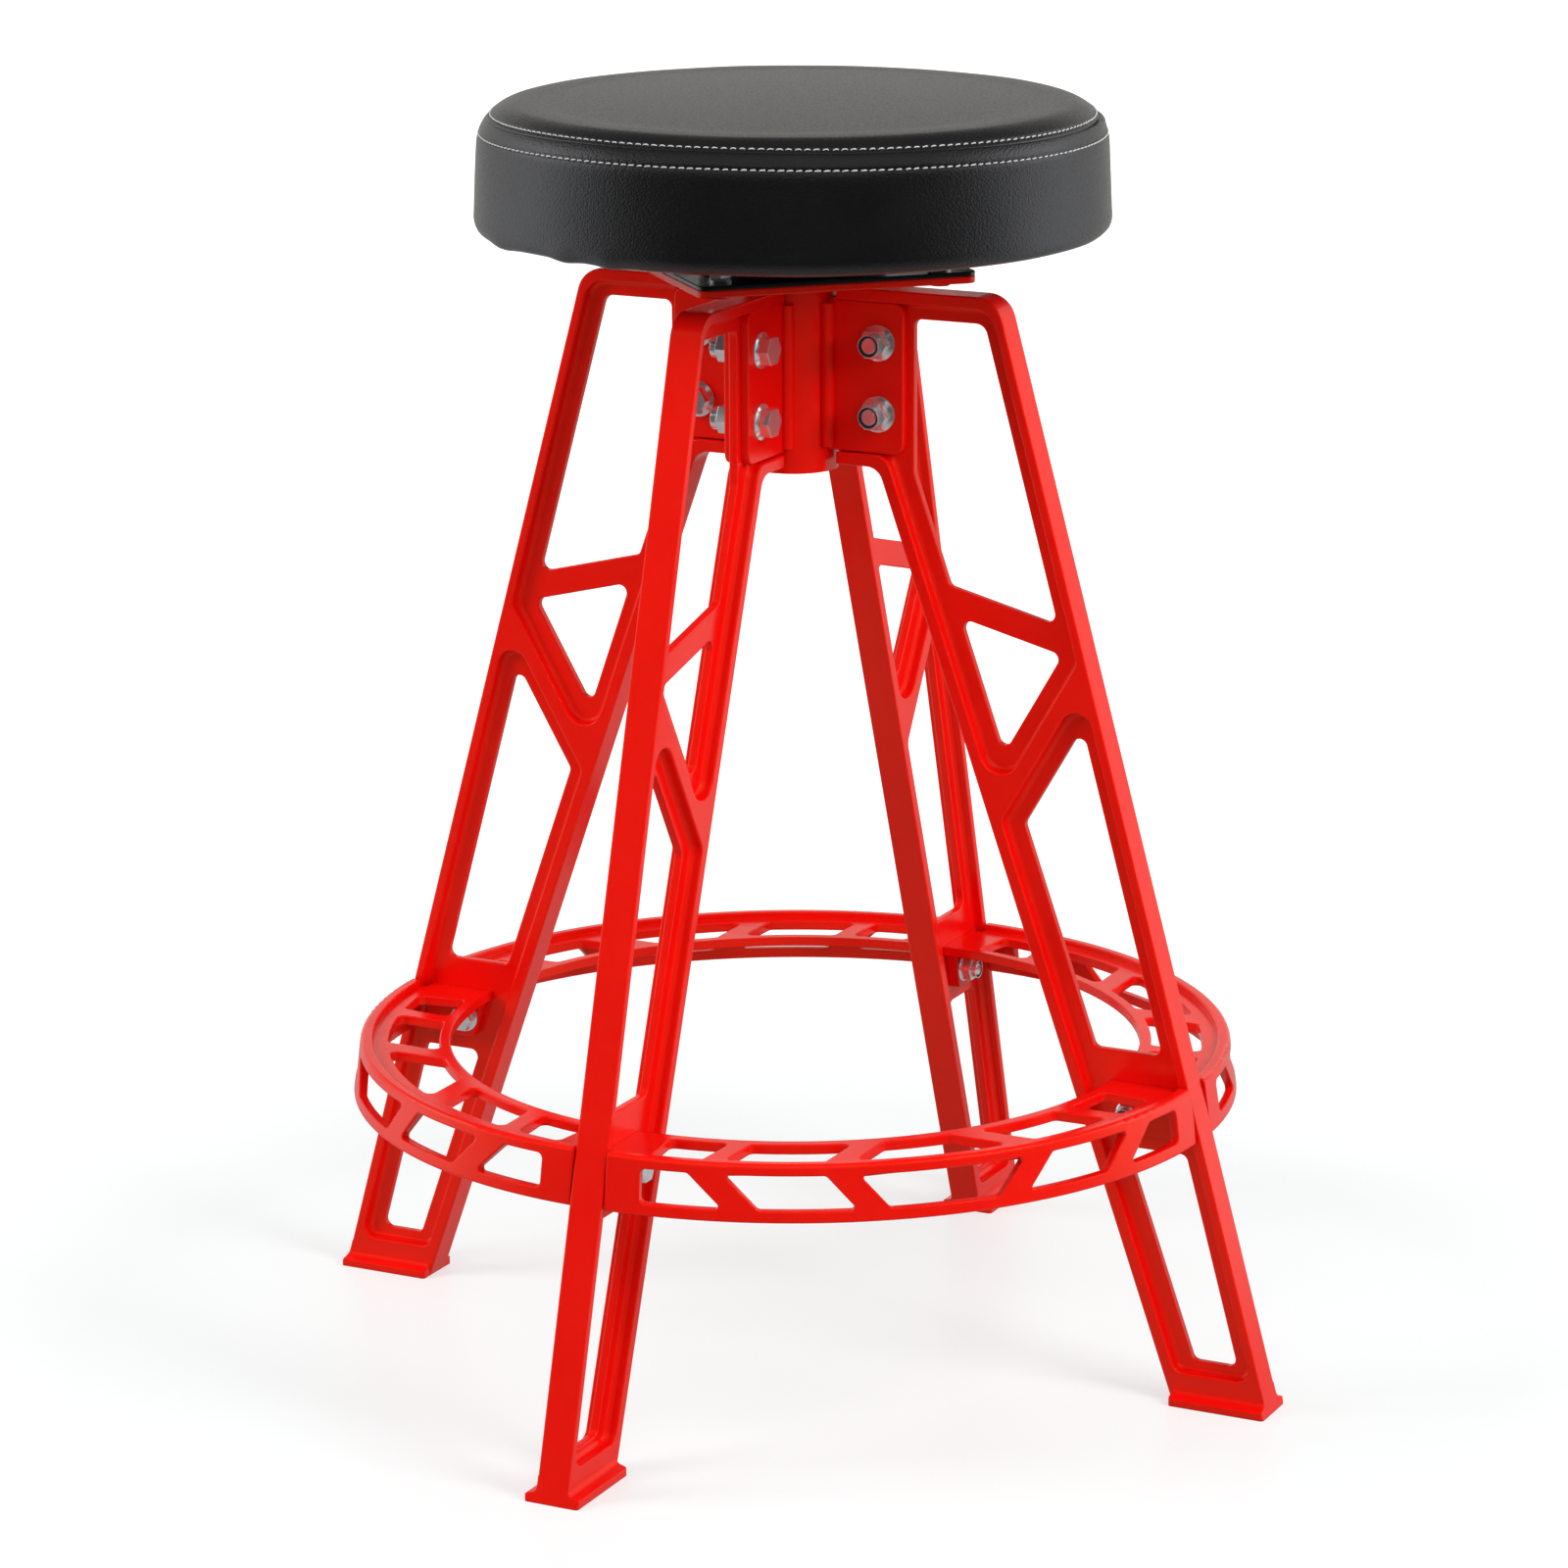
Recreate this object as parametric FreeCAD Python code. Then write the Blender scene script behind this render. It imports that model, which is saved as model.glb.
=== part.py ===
"""Shop stool: four cast truss legs, a welded hub, a four-piece footring and a padded seat on a ball swivel.

Millimetres, +Z up. The origin is on the floor, on the swivel's axis. The legs lie on +X, +Y, -X and -Y.
A leg is drawn in its own plane: r is the distance from the axis, z the height, and t the distance from the
leg's middle plane, positive on its counterclockwise side seen from above.
"""
import FreeCAD
import Part
import math
import os

from FreeCAD import Vector

# Leg casting
leg_count = 4
leg_thickness = 19.0
leg_web = 5.0
leg_top_z = 622.0
leg_head_height = 100.0
leg_tube_gap = 5.6
leg_outer_r0 = 299.6
leg_foot_length = 57.8
leg_shoulder_reach = 57.2
leg_armpit_reach = 0.7
leg_shoulder_radius = 16.0
leg_armpit_radius = 10.0
outer_flange = 5.5
inner_flange = 7.5
top_flange = 7.0
head_flange = 7.0
pocket_floor_fillet = 3.5
pocket_corner = 7.0
pocket_shoulder_corner = 12.0
pocket_rib_corner = 10.0
pocket_bottom_z = 18.0
casting_edge = 0.9
window_edge = 0.8

# Slanted rib and the bars that frame the leg's windows
rib_slope = 0.582
rib_top_drop = 194.0
rib_width = 9.0
rib_border = 10.2
window_border_outer = 14.7
window_border_inner = 18.0
window_top_drop = 16.0
window_ear_gap = 4.4
window_corner = 4.5
crossbar_end_drop = 185.2
crossbar_slope = 0.25
crossbar_width = 15.3
upper_strut_width = 11.5
knee_web_above_ring = 14.2
knee_web_below_ring = 10.0
foot_window_bottom_z = 24.0

# Foot of the leg
foot_half_width = 16.5
foot_side_height = 4.2
foot_flare_top_z = 10.5
foot_flare_radius = 4.0
foot_tip_radius = 1.2
foot_corner = 2.0

# Hub
tube_diameter = 50.8
tube_wall = 4.0
tube_below_head = 5.0
hub_plate_side = 160.0
hub_plate_corner = 6.0
hub_plate_thickness = 4.0
hub_plate_gap = 6.3
ear_thickness = 5.0
ear_bolt_edge = 15.2
ear_bottom_gap = 0.7
ear_top_gap = 0.3
ear_corner = 6.0
plate_edge = 0.6
weld_size = 4.0
weld_end_gap = 2.0
fit_clearance = 0.05

# Leg bolts, hex flange heads with flanged lock nuts
leg_bolt_diameter = 10.0
leg_bolt_tube_gap = 30.6
leg_bolt_pitch = 40.0
leg_bolt_ear_edge = 22.3
leg_bolt_flange = 20.5
leg_bolt_hex = 15.0
leg_bolt_head = 8.5
leg_nut_height = 13.4
hole_clearance = 0.25

# Shapes of the flanged fasteners, as shares of the flange's diameter, the hexagon's width, the nut's height
# and the bolt's diameter
flange_rim_share = 0.06
hex_chamfer_share = 0.12
nut_hex_share = 0.68
nut_collar_share = 0.42
nut_seat_share = 0.75
insert_length_share = 0.2
insert_wall_share = 0.7
bolt_tail_share = 0.9
bolt_point_share = 0.1

# Footring casting
ring_top_z = 186.5
ring_bottom_z = 155.0
ring_proud = 2.2
ring_width = 51.5
ring_wall_lean = 4.5
ring_wall = 4.5
ring_lip = 7.0
ring_edge_radius = 2.5
ring_small_edge = 1.0
ring_lip_height = 3.5
ring_plate_thickness = 5.4
ring_leg_gap = 1.0
ring_window_low_border = 6.5
ring_window_high_border = 6.2
ring_window_corner = 3.5
ring_window_tip = 1.7
ring_slot_inner_border = 6.5
ring_slot_outer_border = 16.0
ring_slot_corner = 3.5
ring_mouth_edge = 0.7
ring_foot_thickness = 7.0
ring_foot_top_inset = 2.0
ring_foot_low_inset = 10.0
ring_foot_corner = 2.0

# Upright edges of the footring's windows, in degrees from the quarter's middle, at its top and at its bottom
end_window_angle = 38.17
end_window_slant = (32.16, 27.56)
side_window_outer = (27.68, 23.33)
side_window_inner = (15.0, 11.05)
middle_window_edge = (10.86, 7.09)

# Struts of the footring's tread, in degrees from the quarter's middle, at the outer and at the inner arc
end_slot_angle = 38.0
strut_one_outer_side = (31.2, 28.7)
strut_one_inner_side = (28.1, 25.5)
strut_two_outer_side = (15.0, 10.0)
strut_two_inner_side = (10.9, 5.2)

# Footring bolts
ring_bolt_diameter = 8.0
ring_bolt_inset = 15.0
ring_bolt_rise = 12.0
ring_bolt_flange = 17.0
ring_bolt_hex = 13.0
ring_bolt_head = 7.0
ring_nut_height = 10.5

# Swivel
swivel_plate_thickness = 2.5
swivel_upper_side = 150.0
seat_screw_edge = 15.0
swivel_height = 21.2
swivel_bolt_corner_gap = 23.34
swivel_bolt_diameter = 6.5
swivel_bolt_head_diameter = 14.0
swivel_bolt_head = 2.6
swivel_nut_width = 11.0
swivel_nut_height = 5.2
swivel_bolt_tail = 1.6
swivel_washer_diameter = 14.0
swivel_washer = 1.2
race_radius = 42.0
race_half_width = 11.0
race_edge = 1.5
ball_diameter = 6.35
ball_count = 24
ball_clearance = 0.06
cage_thickness = 1.5
cage_half_width = 6.0
rivet_radius = 14.0
rivet_wall = 2.0
rivet_flange = 6.0
rivet_flange_thickness = 2.0
rivet_boss_wall = 2.0
rivet_boss_height = 5.0
rivet_clearance = 0.3

# Seat
seat_side_r = 176.9
seat_side_lean = 2.6
seat_height = 69.4
seat_crown = 2.6
seat_bottom_round = 7.0
seat_top_round = 23.0
seam_angle = 38.0
cover_thickness = 1.2
cover_gap = 0.3
seam_gap = 0.3
hem_width = 30.0
board_thickness = 15.0
dust_cover_thickness = 0.6
dust_cover_overlap = 14.0
thread_diameter = 0.8
thread_row_angles = (22.0, 54.0)
seat_screw_diameter = 6.0
seat_screw_head_diameter = 12.0
seat_screw_head = 2.8
tee_nut_flange_diameter = 19.0
tee_nut_flange = 1.6
tee_nut_barrel_diameter = 8.0
tee_nut_depth = 10.0

# Heights and places that follow from the sizes above
leg_hole_radius = leg_bolt_diameter / 2 + hole_clearance
ring_hole_radius = ring_bolt_diameter / 2 + hole_clearance
swivel_hole_radius = swivel_bolt_diameter / 2 + hole_clearance
screw_hole_radius = seat_screw_diameter / 2 + hole_clearance
half_leg = leg_thickness / 2
half_web = leg_web / 2
tube_r = tube_diameter / 2
tube_bottom_z = leg_top_z - leg_head_height - tube_below_head
leg_bolt_r = tube_r + leg_bolt_tube_gap
ear_outer_r = leg_bolt_r + ear_bolt_edge
leg_head_bottom_z = leg_top_z - leg_head_height
leg_inner_end_r = tube_r + leg_tube_gap
leg_inner_r0 = leg_outer_r0 - leg_foot_length
leg_outer_slope = (leg_outer_r0 - ear_outer_r - leg_shoulder_reach) / leg_top_z
leg_inner_slope = (leg_inner_r0 - leg_bolt_r - leg_armpit_reach) / leg_head_bottom_z
rib_top_z = leg_top_z - rib_top_drop
crossbar_end_z = leg_top_z - crossbar_end_drop
window_top_z = leg_top_z - window_top_drop
window_left_r = ear_outer_r + window_ear_gap
knee_web_top_z = ring_top_z + knee_web_above_ring
knee_web_bottom_z = ring_bottom_z - knee_web_below_ring
hub_plate_bottom_z = leg_top_z + hub_plate_gap
hub_plate_top_z = hub_plate_bottom_z + hub_plate_thickness
ear_bottom_z = leg_head_bottom_z + head_flange + ear_bottom_gap
ear_top_z = leg_top_z - top_flange - ear_top_gap
ear_face_t = half_web + ear_thickness
leg_bolt_low_z = ear_bottom_z + leg_bolt_ear_edge
ring_outer_r = leg_outer_r0 - leg_outer_slope * ring_top_z + ring_proud
ring_inner_r = ring_outer_r - ring_width
ring_slot_inner_r = ring_inner_r + ring_slot_inner_border
ring_slot_outer_r = ring_outer_r - ring_slot_outer_border
ring_foot_inner_top_r = ring_inner_r + ring_foot_top_inset
ring_foot_inner_low_r = ring_inner_r + ring_foot_low_inset
ring_window_low_z = ring_bottom_z + ring_window_low_border
ring_window_high_z = ring_top_z - ring_window_high_border
ring_bolt_r = ring_inner_r + ring_bolt_inset
ring_bolt_z = ring_bottom_z + ring_bolt_rise
ring_plate_top_z = ring_top_z - ring_lip_height
ring_plate_bottom_z = ring_plate_top_z - ring_plate_thickness
ring_foot_face_t = half_web + ring_foot_thickness
swivel_bolt_r = hub_plate_side / math.sqrt(2) - swivel_bolt_corner_gap
swivel_top_z = hub_plate_top_z + swivel_height
board_bottom_z = swivel_top_z + dust_cover_thickness
seat_bottom_z = board_bottom_z - cover_thickness
seat_rim_z = seat_bottom_z + seat_height
seat_top_r = seat_side_r - seat_side_lean
seat_round_r = seat_top_r - seat_top_round
seat_round_z = seat_rim_z - seat_top_round
crown_radius = (seat_round_r ** 2 + seat_crown ** 2) / (2 * seat_crown)
board_top_z = board_bottom_z + board_thickness

axis_foot = Vector(0, 0, 0)
axis_up = Vector(0, 0, 1)
quarter_names = ("right", "back", "left", "front")


def leg_outer(z):
    """Outer edge of a leg at height z."""
    return leg_outer_r0 - leg_outer_slope * z


def leg_inner(z):
    """Inner edge of a leg at height z."""
    return leg_inner_r0 - leg_inner_slope * z


def crossing(first, second):
    """Point where two lines meet, each line given by a point and a direction."""
    (x1, y1), (dx1, dy1) = first
    (x2, y2), (dx2, dy2) = second
    along = ((x2 - x1) * dy2 - (y2 - y1) * dx2) / (dx1 * dy2 - dy1 * dx2)
    return (x1 + along * dx1, y1 + along * dy1)


def rounded_wire(corners, place):
    """Closed wire through (u, v, radius) corners, each rounded by an arc; place maps (u, v) to space."""
    edges = []
    last_end = None
    first_start = None
    count = len(corners)
    for index, (u, v, radius) in enumerate(corners):
        here = Vector(u, v, 0)
        before = Vector(*corners[index - 1][:2], 0) - here
        after = Vector(*corners[(index + 1) % count][:2], 0) - here
        before.normalize()
        after.normalize()
        half_angle = before.getAngle(after) / 2
        start = here
        end = here
        arc = None
        if radius > 0:
            setback = radius / math.tan(half_angle)
            bisector = before + after
            bisector.normalize()
            start = here + before * setback
            end = here + after * setback
            middle = here + bisector * (radius / math.sin(half_angle) - radius)
            arc = Part.Arc(place(start), place(middle), place(end)).toShape()
        if last_end is None:
            first_start = start
        else:
            edges.append(Part.LineSegment(place(last_end), place(start)).toShape())
        if arc:
            edges.append(arc)
        last_end = end
    edges.append(Part.LineSegment(place(last_end), place(first_start)).toShape())
    return Part.Wire(edges)


def leg_prism(corners, t_low, t_high):
    """Prism with a rounded outline in the leg's plane, from t_low to t_high, for the leg on +X."""
    wire = rounded_wire(corners, lambda p: Vector(p.x, t_low, p.y))
    return Part.Face(wire).extrude(Vector(0, t_high - t_low, 0))


def plan_prism(corners, z_low, z_high):
    """Upright prism with a rounded outline in plan."""
    wire = rounded_wire(corners, lambda p: Vector(p.x, p.y, z_low))
    return Part.Face(wire).extrude(Vector(0, 0, z_high - z_low))


def revolved(corners):
    """Solid of revolution about the axis, with a rounded (r, z) outline."""
    wire = rounded_wire(corners, lambda p: Vector(p.x, 0, p.y))
    return Part.Face(wire).revolve(axis_foot, axis_up, 360)


def upright_cylinder(radius, z_low, z_high, x=0.0, y=0.0):
    """Cylinder standing on z_low."""
    return Part.makeCylinder(radius, z_high - z_low, Vector(x, y, z_low))


def cross_cylinder(radius, r, z, t_low, t_high):
    """Cylinder across the leg on +X, from t_low to t_high."""
    return Part.makeCylinder(radius, t_high - t_low, Vector(r, t_low, z), Vector(0, 1, 0))


def hexagon_prism(width, base, direction, length):
    """Hexagonal prism of a width across flats, from base along direction."""
    reach = width / math.sqrt(3)
    turns = [math.radians(60 * step) for step in range(7)]
    side = direction.cross(axis_up if abs(direction.z) < 0.5 else Vector(1, 0, 0))
    other = direction.cross(side)
    points = [base + side * (reach * math.cos(turn)) + other * (reach * math.sin(turn)) for turn in turns]
    return Part.Face(Part.makePolygon(points)).extrude(direction * length)


def quarter_turn(shape, step):
    """Copy of a shape turned about the axis by a number of quarters."""
    copy = shape.copy()
    copy.rotate(axis_foot, axis_up, 90 * step)
    return copy


def all_round(shape):
    """The four copies of a shape round the axis."""
    return [quarter_turn(shape, step) for step in range(leg_count)]


def flat_edges(shape, axis, level, keep):
    """Edges that lie in the plane axis = level and pass the test keep(edge)."""
    chosen = []
    for edge in shape.Edges:
        box = edge.BoundBox
        low, high = (box.YMin, box.YMax) if axis == "y" else (box.ZMin, box.ZMax)
        if abs(low - level) < 1e-4 and abs(high - level) < 1e-4 and keep(edge):
            chosen.append(edge)
    return chosen


def level_edges(shape):
    """Edges of an upright prism that lie level, round its top and its bottom."""
    return [edge for edge in shape.Edges if edge.BoundBox.ZLength < plate_edge]


def edge_middle(edge):
    """Point halfway along an edge."""
    return edge.valueAt((edge.FirstParameter + edge.LastParameter) / 2)


def on_any(tools, edge):
    """Whether the middle of an edge lies on one of the tools."""
    return any(tool.isInside(edge_middle(edge), fit_clearance, True) for tool in tools)


# Lines of the leg's plane, each a point and a direction
outer_line = ((leg_outer_r0, 0.0), (-leg_outer_slope, 1.0))
inner_line = ((leg_inner_r0, 0.0), (-leg_inner_slope, 1.0))
rib_direction = (rib_slope, 1.0)
rib_spread = math.hypot(rib_slope, 1.0)


def beside(line, distance):
    """The same line moved by a distance along r."""
    (r, z), direction = line
    return ((r + distance, z), direction)


def level(z):
    """Level line at height z."""
    return ((0.0, z), (1.0, 0.0))


rib_upper_line = ((leg_outer(rib_top_z), rib_top_z), rib_direction)
rib_lower_line = beside(rib_upper_line, rib_width * rib_spread)
pocket_outer_line = beside(outer_line, -outer_flange)
pocket_inner_line = beside(inner_line, inner_flange)
window_outer_line = beside(outer_line, -window_border_outer)
window_inner_line = beside(inner_line, window_border_inner)
crossbar_top_line = ((leg_outer(crossbar_end_z), crossbar_end_z), (1.0, -crossbar_slope))
crossbar_low_z = crossbar_end_z - crossbar_width * math.hypot(1, crossbar_slope)
crossbar_low_line = ((leg_outer(crossbar_end_z), crossbar_low_z), (1.0, -crossbar_slope))
strut_line = beside(rib_upper_line, -upper_strut_width * rib_spread)
lower_window_line = beside(rib_lower_line, rib_border * rib_spread)


def rounded(point, radius):
    """A point with its corner radius."""
    return (point[0], point[1], radius)


def leg_outline():
    """Silhouette of the leg in its plane."""
    return [
        (leg_inner_end_r, leg_head_bottom_z, 0),
        rounded(crossing(inner_line, level(leg_head_bottom_z)), leg_armpit_radius),
        (leg_inner(0), 0, 0),
        (leg_outer(0), 0, 0),
        rounded(crossing(outer_line, level(leg_top_z)), leg_shoulder_radius),
        (leg_inner_end_r, leg_top_z, 0),
    ]


def upper_pocket():
    """Recess from the leg's head down to the rib, open towards the hub."""
    open_end = leg_inner_end_r - leg_thickness
    top = leg_top_z - top_flange
    bottom = leg_head_bottom_z + head_flange
    return [
        (open_end, top, 0),
        (open_end, bottom, 0),
        rounded(crossing(pocket_inner_line, level(bottom)), leg_armpit_radius),
        rounded(crossing(pocket_inner_line, rib_upper_line), pocket_shoulder_corner),
        rounded(crossing(pocket_outer_line, rib_upper_line), pocket_corner),
        rounded(crossing(pocket_outer_line, level(top)), pocket_shoulder_corner),
    ]


def lower_pocket():
    """Recess from the rib down to the foot."""
    return [
        rounded(crossing(pocket_outer_line, rib_lower_line), pocket_rib_corner),
        rounded(crossing(pocket_inner_line, rib_lower_line), pocket_corner),
        rounded(crossing(pocket_inner_line, level(pocket_bottom_z)), pocket_corner),
        rounded(crossing(pocket_outer_line, level(pocket_bottom_z)), pocket_corner),
    ]


def leg_windows():
    """Outlines of the four openings through the web, from the top down."""
    upright = ((window_left_r, 0.0), (0.0, 1.0))
    head = [
        (window_left_r, window_top_z, window_corner),
        rounded(crossing(upright, window_inner_line), window_corner),
        rounded(crossing(window_inner_line, crossbar_top_line), window_corner),
        rounded(crossing(window_outer_line, crossbar_top_line), window_corner),
        rounded(crossing(window_outer_line, level(window_top_z)), pocket_corner),
    ]
    triangle = [
        rounded(crossing(window_inner_line, crossbar_low_line), window_corner),
        rounded(crossing(window_inner_line, strut_line), window_corner),
        rounded(crossing(strut_line, crossbar_low_line), window_corner),
    ]
    shank = [
        rounded(crossing(window_outer_line, lower_window_line), window_corner),
        rounded(crossing(window_inner_line, lower_window_line), window_corner),
        rounded(crossing(window_inner_line, level(knee_web_top_z)), window_corner),
        rounded(crossing(window_outer_line, level(knee_web_top_z)), window_corner),
    ]
    foot = [
        rounded(crossing(window_inner_line, level(knee_web_bottom_z)), window_corner),
        rounded(crossing(window_inner_line, level(foot_window_bottom_z)), window_corner),
        rounded(crossing(window_outer_line, level(foot_window_bottom_z)), window_corner),
        rounded(crossing(window_outer_line, level(knee_web_bottom_z)), window_corner),
    ]
    return [head, triangle, shank, foot]


def filleted_pocket(corners, side):
    """Cutter for a recess on one side of the web, with its floor rounded into its walls."""
    floor = side * half_web
    tool = leg_prism(corners, floor, side * leg_thickness)
    return tool.makeFillet(pocket_floor_fillet, flat_edges(tool, "y", floor, lambda edge: True))


def ear_recess(side):
    """Square-edged seat for an ear in the head of the leg, within the upper recess."""
    bottom = leg_head_bottom_z + head_flange
    top = leg_top_z - top_flange
    floor = side * half_web
    corners = [
        (leg_inner_end_r - leg_thickness, bottom, 0),
        (crossing(pocket_inner_line, level(bottom))[0], bottom, 0),
        (ear_outer_r + ear_bottom_gap, top - pocket_corner, 0),
        (ear_outer_r + ear_bottom_gap, top, 0),
        (leg_inner_end_r - leg_thickness, top, 0),
    ]
    return leg_prism(corners, floor, side * leg_thickness)


def foot_block():
    """Flared sole of the leg: a section across it with hollow flanks, trimmed to the leg's edges."""
    flare_root = (foot_flare_top_z + foot_side_height) / 2 - foot_tip_radius
    half = [
        (foot_half_width, 0, 0),
        (foot_half_width, foot_side_height, foot_tip_radius),
        (half_leg, flare_root, foot_flare_radius),
        (half_leg, foot_flare_top_z + foot_flare_radius, 0),
    ]
    section = half + [(-t, z, radius) for t, z, radius in reversed(half)]
    wire = rounded_wire(section, lambda p: Vector(0, p.x, p.y))
    bar = Part.Face(wire).extrude(Vector(leg_outer_r0 + leg_thickness, 0, 0))
    plan = [
        (leg_inner(0), -foot_half_width, foot_corner),
        (leg_outer(0), -foot_half_width, foot_corner),
        (leg_outer(0), foot_half_width, foot_corner),
        (leg_inner(0), foot_half_width, foot_corner),
    ]
    block = bar.common(leg_prism(leg_outline(), -foot_half_width, foot_half_width))
    return block.common(plan_prism(plan, 0, foot_flare_top_z + foot_flare_radius))


def leg_bolt_heights():
    """Heights of a leg's two hub bolts."""
    return (leg_bolt_low_z, leg_bolt_low_z + leg_bolt_pitch)


def above_sole_and_off_hub(edge):
    """Whether an edge is neither on the floor nor on the leg's end face at the hub."""
    box = edge.BoundBox
    return box.ZMax > foot_side_height and box.XMax > leg_inner_end_r + fit_clearance


def make_leg():
    """The leg on +X: a flanged web with recesses on both sides, windows, bolt holes and a flared sole."""
    body = leg_prism(leg_outline(), -half_leg, half_leg)
    for side in (-1, 1):
        for corners in (upper_pocket(), lower_pocket()):
            body = body.cut(filleted_pocket(corners, side))
    for side in (-1, 1):
        rims = flat_edges(body, "y", side * half_leg, above_sole_and_off_hub)
        body = body.makeFillet(casting_edge, rims)
    windows = [leg_prism(corners, -half_leg, half_leg) for corners in leg_windows()]
    body = body.cut(windows)
    mouths = []
    for side in (-1, 1):
        mouths += flat_edges(body, "y", side * half_web, lambda edge: on_any(windows, edge))
    body = body.makeFillet(window_edge, mouths)
    for side in (-1, 1):
        body = body.cut(ear_recess(side))
    for z in leg_bolt_heights():
        body = body.cut(cross_cylinder(leg_hole_radius, leg_bolt_r, z, -half_leg, half_leg))
    body = body.cut(cross_cylinder(ring_hole_radius, ring_bolt_r, ring_bolt_z, -half_leg, half_leg))
    return body.fuse(foot_block()).removeSplitter()


def off_tube(edge):
    """Whether an edge of an ear is away from its end at the tube."""
    return edge.BoundBox.XMax > tube_r + 2 * fit_clearance


def make_ear(side):
    """Ear plate on one side of the leg on +X, square to the tube, with its far corners rounded."""
    near = tube_r + fit_clearance
    corners = [
        (near, ear_bottom_z, 0),
        (ear_outer_r, ear_bottom_z, ear_corner),
        (ear_outer_r, ear_top_z, ear_corner),
        (near, ear_top_z, 0),
    ]
    plate = leg_prism(corners, side * half_web, side * ear_face_t)
    plate = plate.makeFillet(plate_edge, flat_edges(plate, "y", side * ear_face_t, off_tube))
    for z in leg_bolt_heights():
        low, high = sorted((side * half_web, side * ear_face_t))
        plate = plate.cut(cross_cylinder(leg_hole_radius, leg_bolt_r, z, low, high))
    return plate


def make_ear_weld(side):
    """Fillet bead in the corner between an ear's face and the tube."""
    low = ear_bottom_z + weld_end_gap
    high = ear_top_z - weld_end_gap
    centre_t = side * (ear_face_t + weld_size / 4)
    bead = upright_cylinder(weld_size, low, high, tube_r, centre_t)
    bead = bead.cut(upright_cylinder(tube_r + fit_clearance, low, high))
    keep_out = ear_face_t + fit_clearance
    block = Part.makeBox(2 * ear_outer_r, 2 * keep_out, high - low, Vector(-ear_outer_r, -keep_out, low))
    return bead.cut(block)


def make_plate_weld():
    """Fillet bead round the tube under the top plate."""
    inner = tube_r + fit_clearance
    top = hub_plate_bottom_z - fit_clearance
    return revolved([(inner, top, 0), (inner, top - weld_size, 0), (inner + weld_size, top, 0)])


def square_corners(side, radius):
    """Square in plan with its corners on the X and Y axes."""
    reach = side / math.sqrt(2)
    return [(reach, 0, radius), (0, reach, radius), (-reach, 0, radius), (0, -reach, radius)]


def make_hub_plate():
    """Square top plate of the hub, drilled for the swivel's bolts."""
    plate = plan_prism(square_corners(hub_plate_side, hub_plate_corner), hub_plate_bottom_z, hub_plate_top_z)
    plate = plate.makeFillet(plate_edge, level_edges(plate))
    hole = upright_cylinder(swivel_hole_radius, hub_plate_bottom_z, hub_plate_top_z, swivel_bolt_r)
    return plate.cut(all_round(hole))


def flange_cone(flange, hex_width, base, direction):
    """Round flange of a bolt head or nut: a rim and a cone up to the hexagon."""
    rim = flange * flange_rim_share
    cone = (flange - hex_width) / 4
    disc = Part.makeCylinder(flange / 2, rim, base, direction)
    top = Part.makeCone(flange / 2, hex_width / 2, cone, base + direction * rim, direction)
    return disc.fuse(top)


def chamfered_hexagon(width, base, direction, length):
    """Hexagon whose far corners are turned off by a cone."""
    prism = hexagon_prism(width, base, direction, length)
    reach = width / math.sqrt(3)
    chamfer = reach * hex_chamfer_share
    turned = Part.makeCone(reach + length, reach - chamfer, length + chamfer, base, direction)
    return prism.common(turned)


def make_flange_bolt(diameter, flange, hex_width, head, grip, tail, base, direction):
    """Hex flange bolt whose head seats at base and whose shank runs back along -direction."""
    shank = Part.makeCylinder(diameter / 2, grip + tail, base - direction * (grip + tail), direction)
    tip = diameter * bolt_point_share
    end = base - direction * (grip + tail + tip)
    point = Part.makeCone(diameter / 2 - tip, diameter / 2, tip, end, direction)
    crown = flange_cone(flange, hex_width, base, direction)
    return shank.fuse([point, crown, chamfered_hexagon(hex_width, base, direction, head)]).removeSplitter()


def make_flange_nut(diameter, flange, hex_width, height, base, direction):
    """Flanged lock nut: flange, hexagon and a round collar with a seat for its nylon ring."""
    hexagon = chamfered_hexagon(hex_width, base, direction, height * nut_hex_share)
    collar = Part.makeCylinder(hex_width * nut_collar_share, height, base, direction)
    bore = Part.makeCylinder(diameter / 2 + fit_clearance, height, base, direction)
    seat_foot = height * nut_seat_share
    seat_radius = insert_radius(diameter, hex_width)
    seat = Part.makeCylinder(seat_radius, height - seat_foot, base + direction * seat_foot, direction)
    body = flange_cone(flange, hex_width, base, direction).fuse([hexagon, collar])
    return body.cut([bore, seat]).removeSplitter()


def insert_radius(diameter, hex_width):
    """Outer radius of a lock nut's nylon ring, between its bore and its collar."""
    return diameter / 2 + (hex_width * nut_collar_share - diameter / 2) * insert_wall_share


def make_nut_insert(diameter, hex_width, height, base, direction):
    """Nylon ring in the collar of a lock nut."""
    foot = base + direction * (height * nut_seat_share + fit_clearance)
    length = height * insert_length_share
    ring = Part.makeCylinder(insert_radius(diameter, hex_width) - fit_clearance, length, foot, direction)
    return ring.cut(Part.makeCylinder(diameter / 2 + fit_clearance, length, foot, direction))


def leg_fastener_seats():
    """Head and nut seats of the two hub bolts of the leg on +X: on the outer faces of its ears."""
    return [(Vector(leg_bolt_r, ear_face_t, z), Vector(leg_bolt_r, -ear_face_t, z))
            for z in leg_bolt_heights()]


def ring_fastener_seats():
    """Head and nut seats of the footring bolt of the leg on +X."""
    head_seat = Vector(ring_bolt_r, ring_foot_face_t, ring_bolt_z)
    nut_seat = Vector(ring_bolt_r, -ring_foot_face_t, ring_bolt_z)
    return [(head_seat, nut_seat)]


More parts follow.
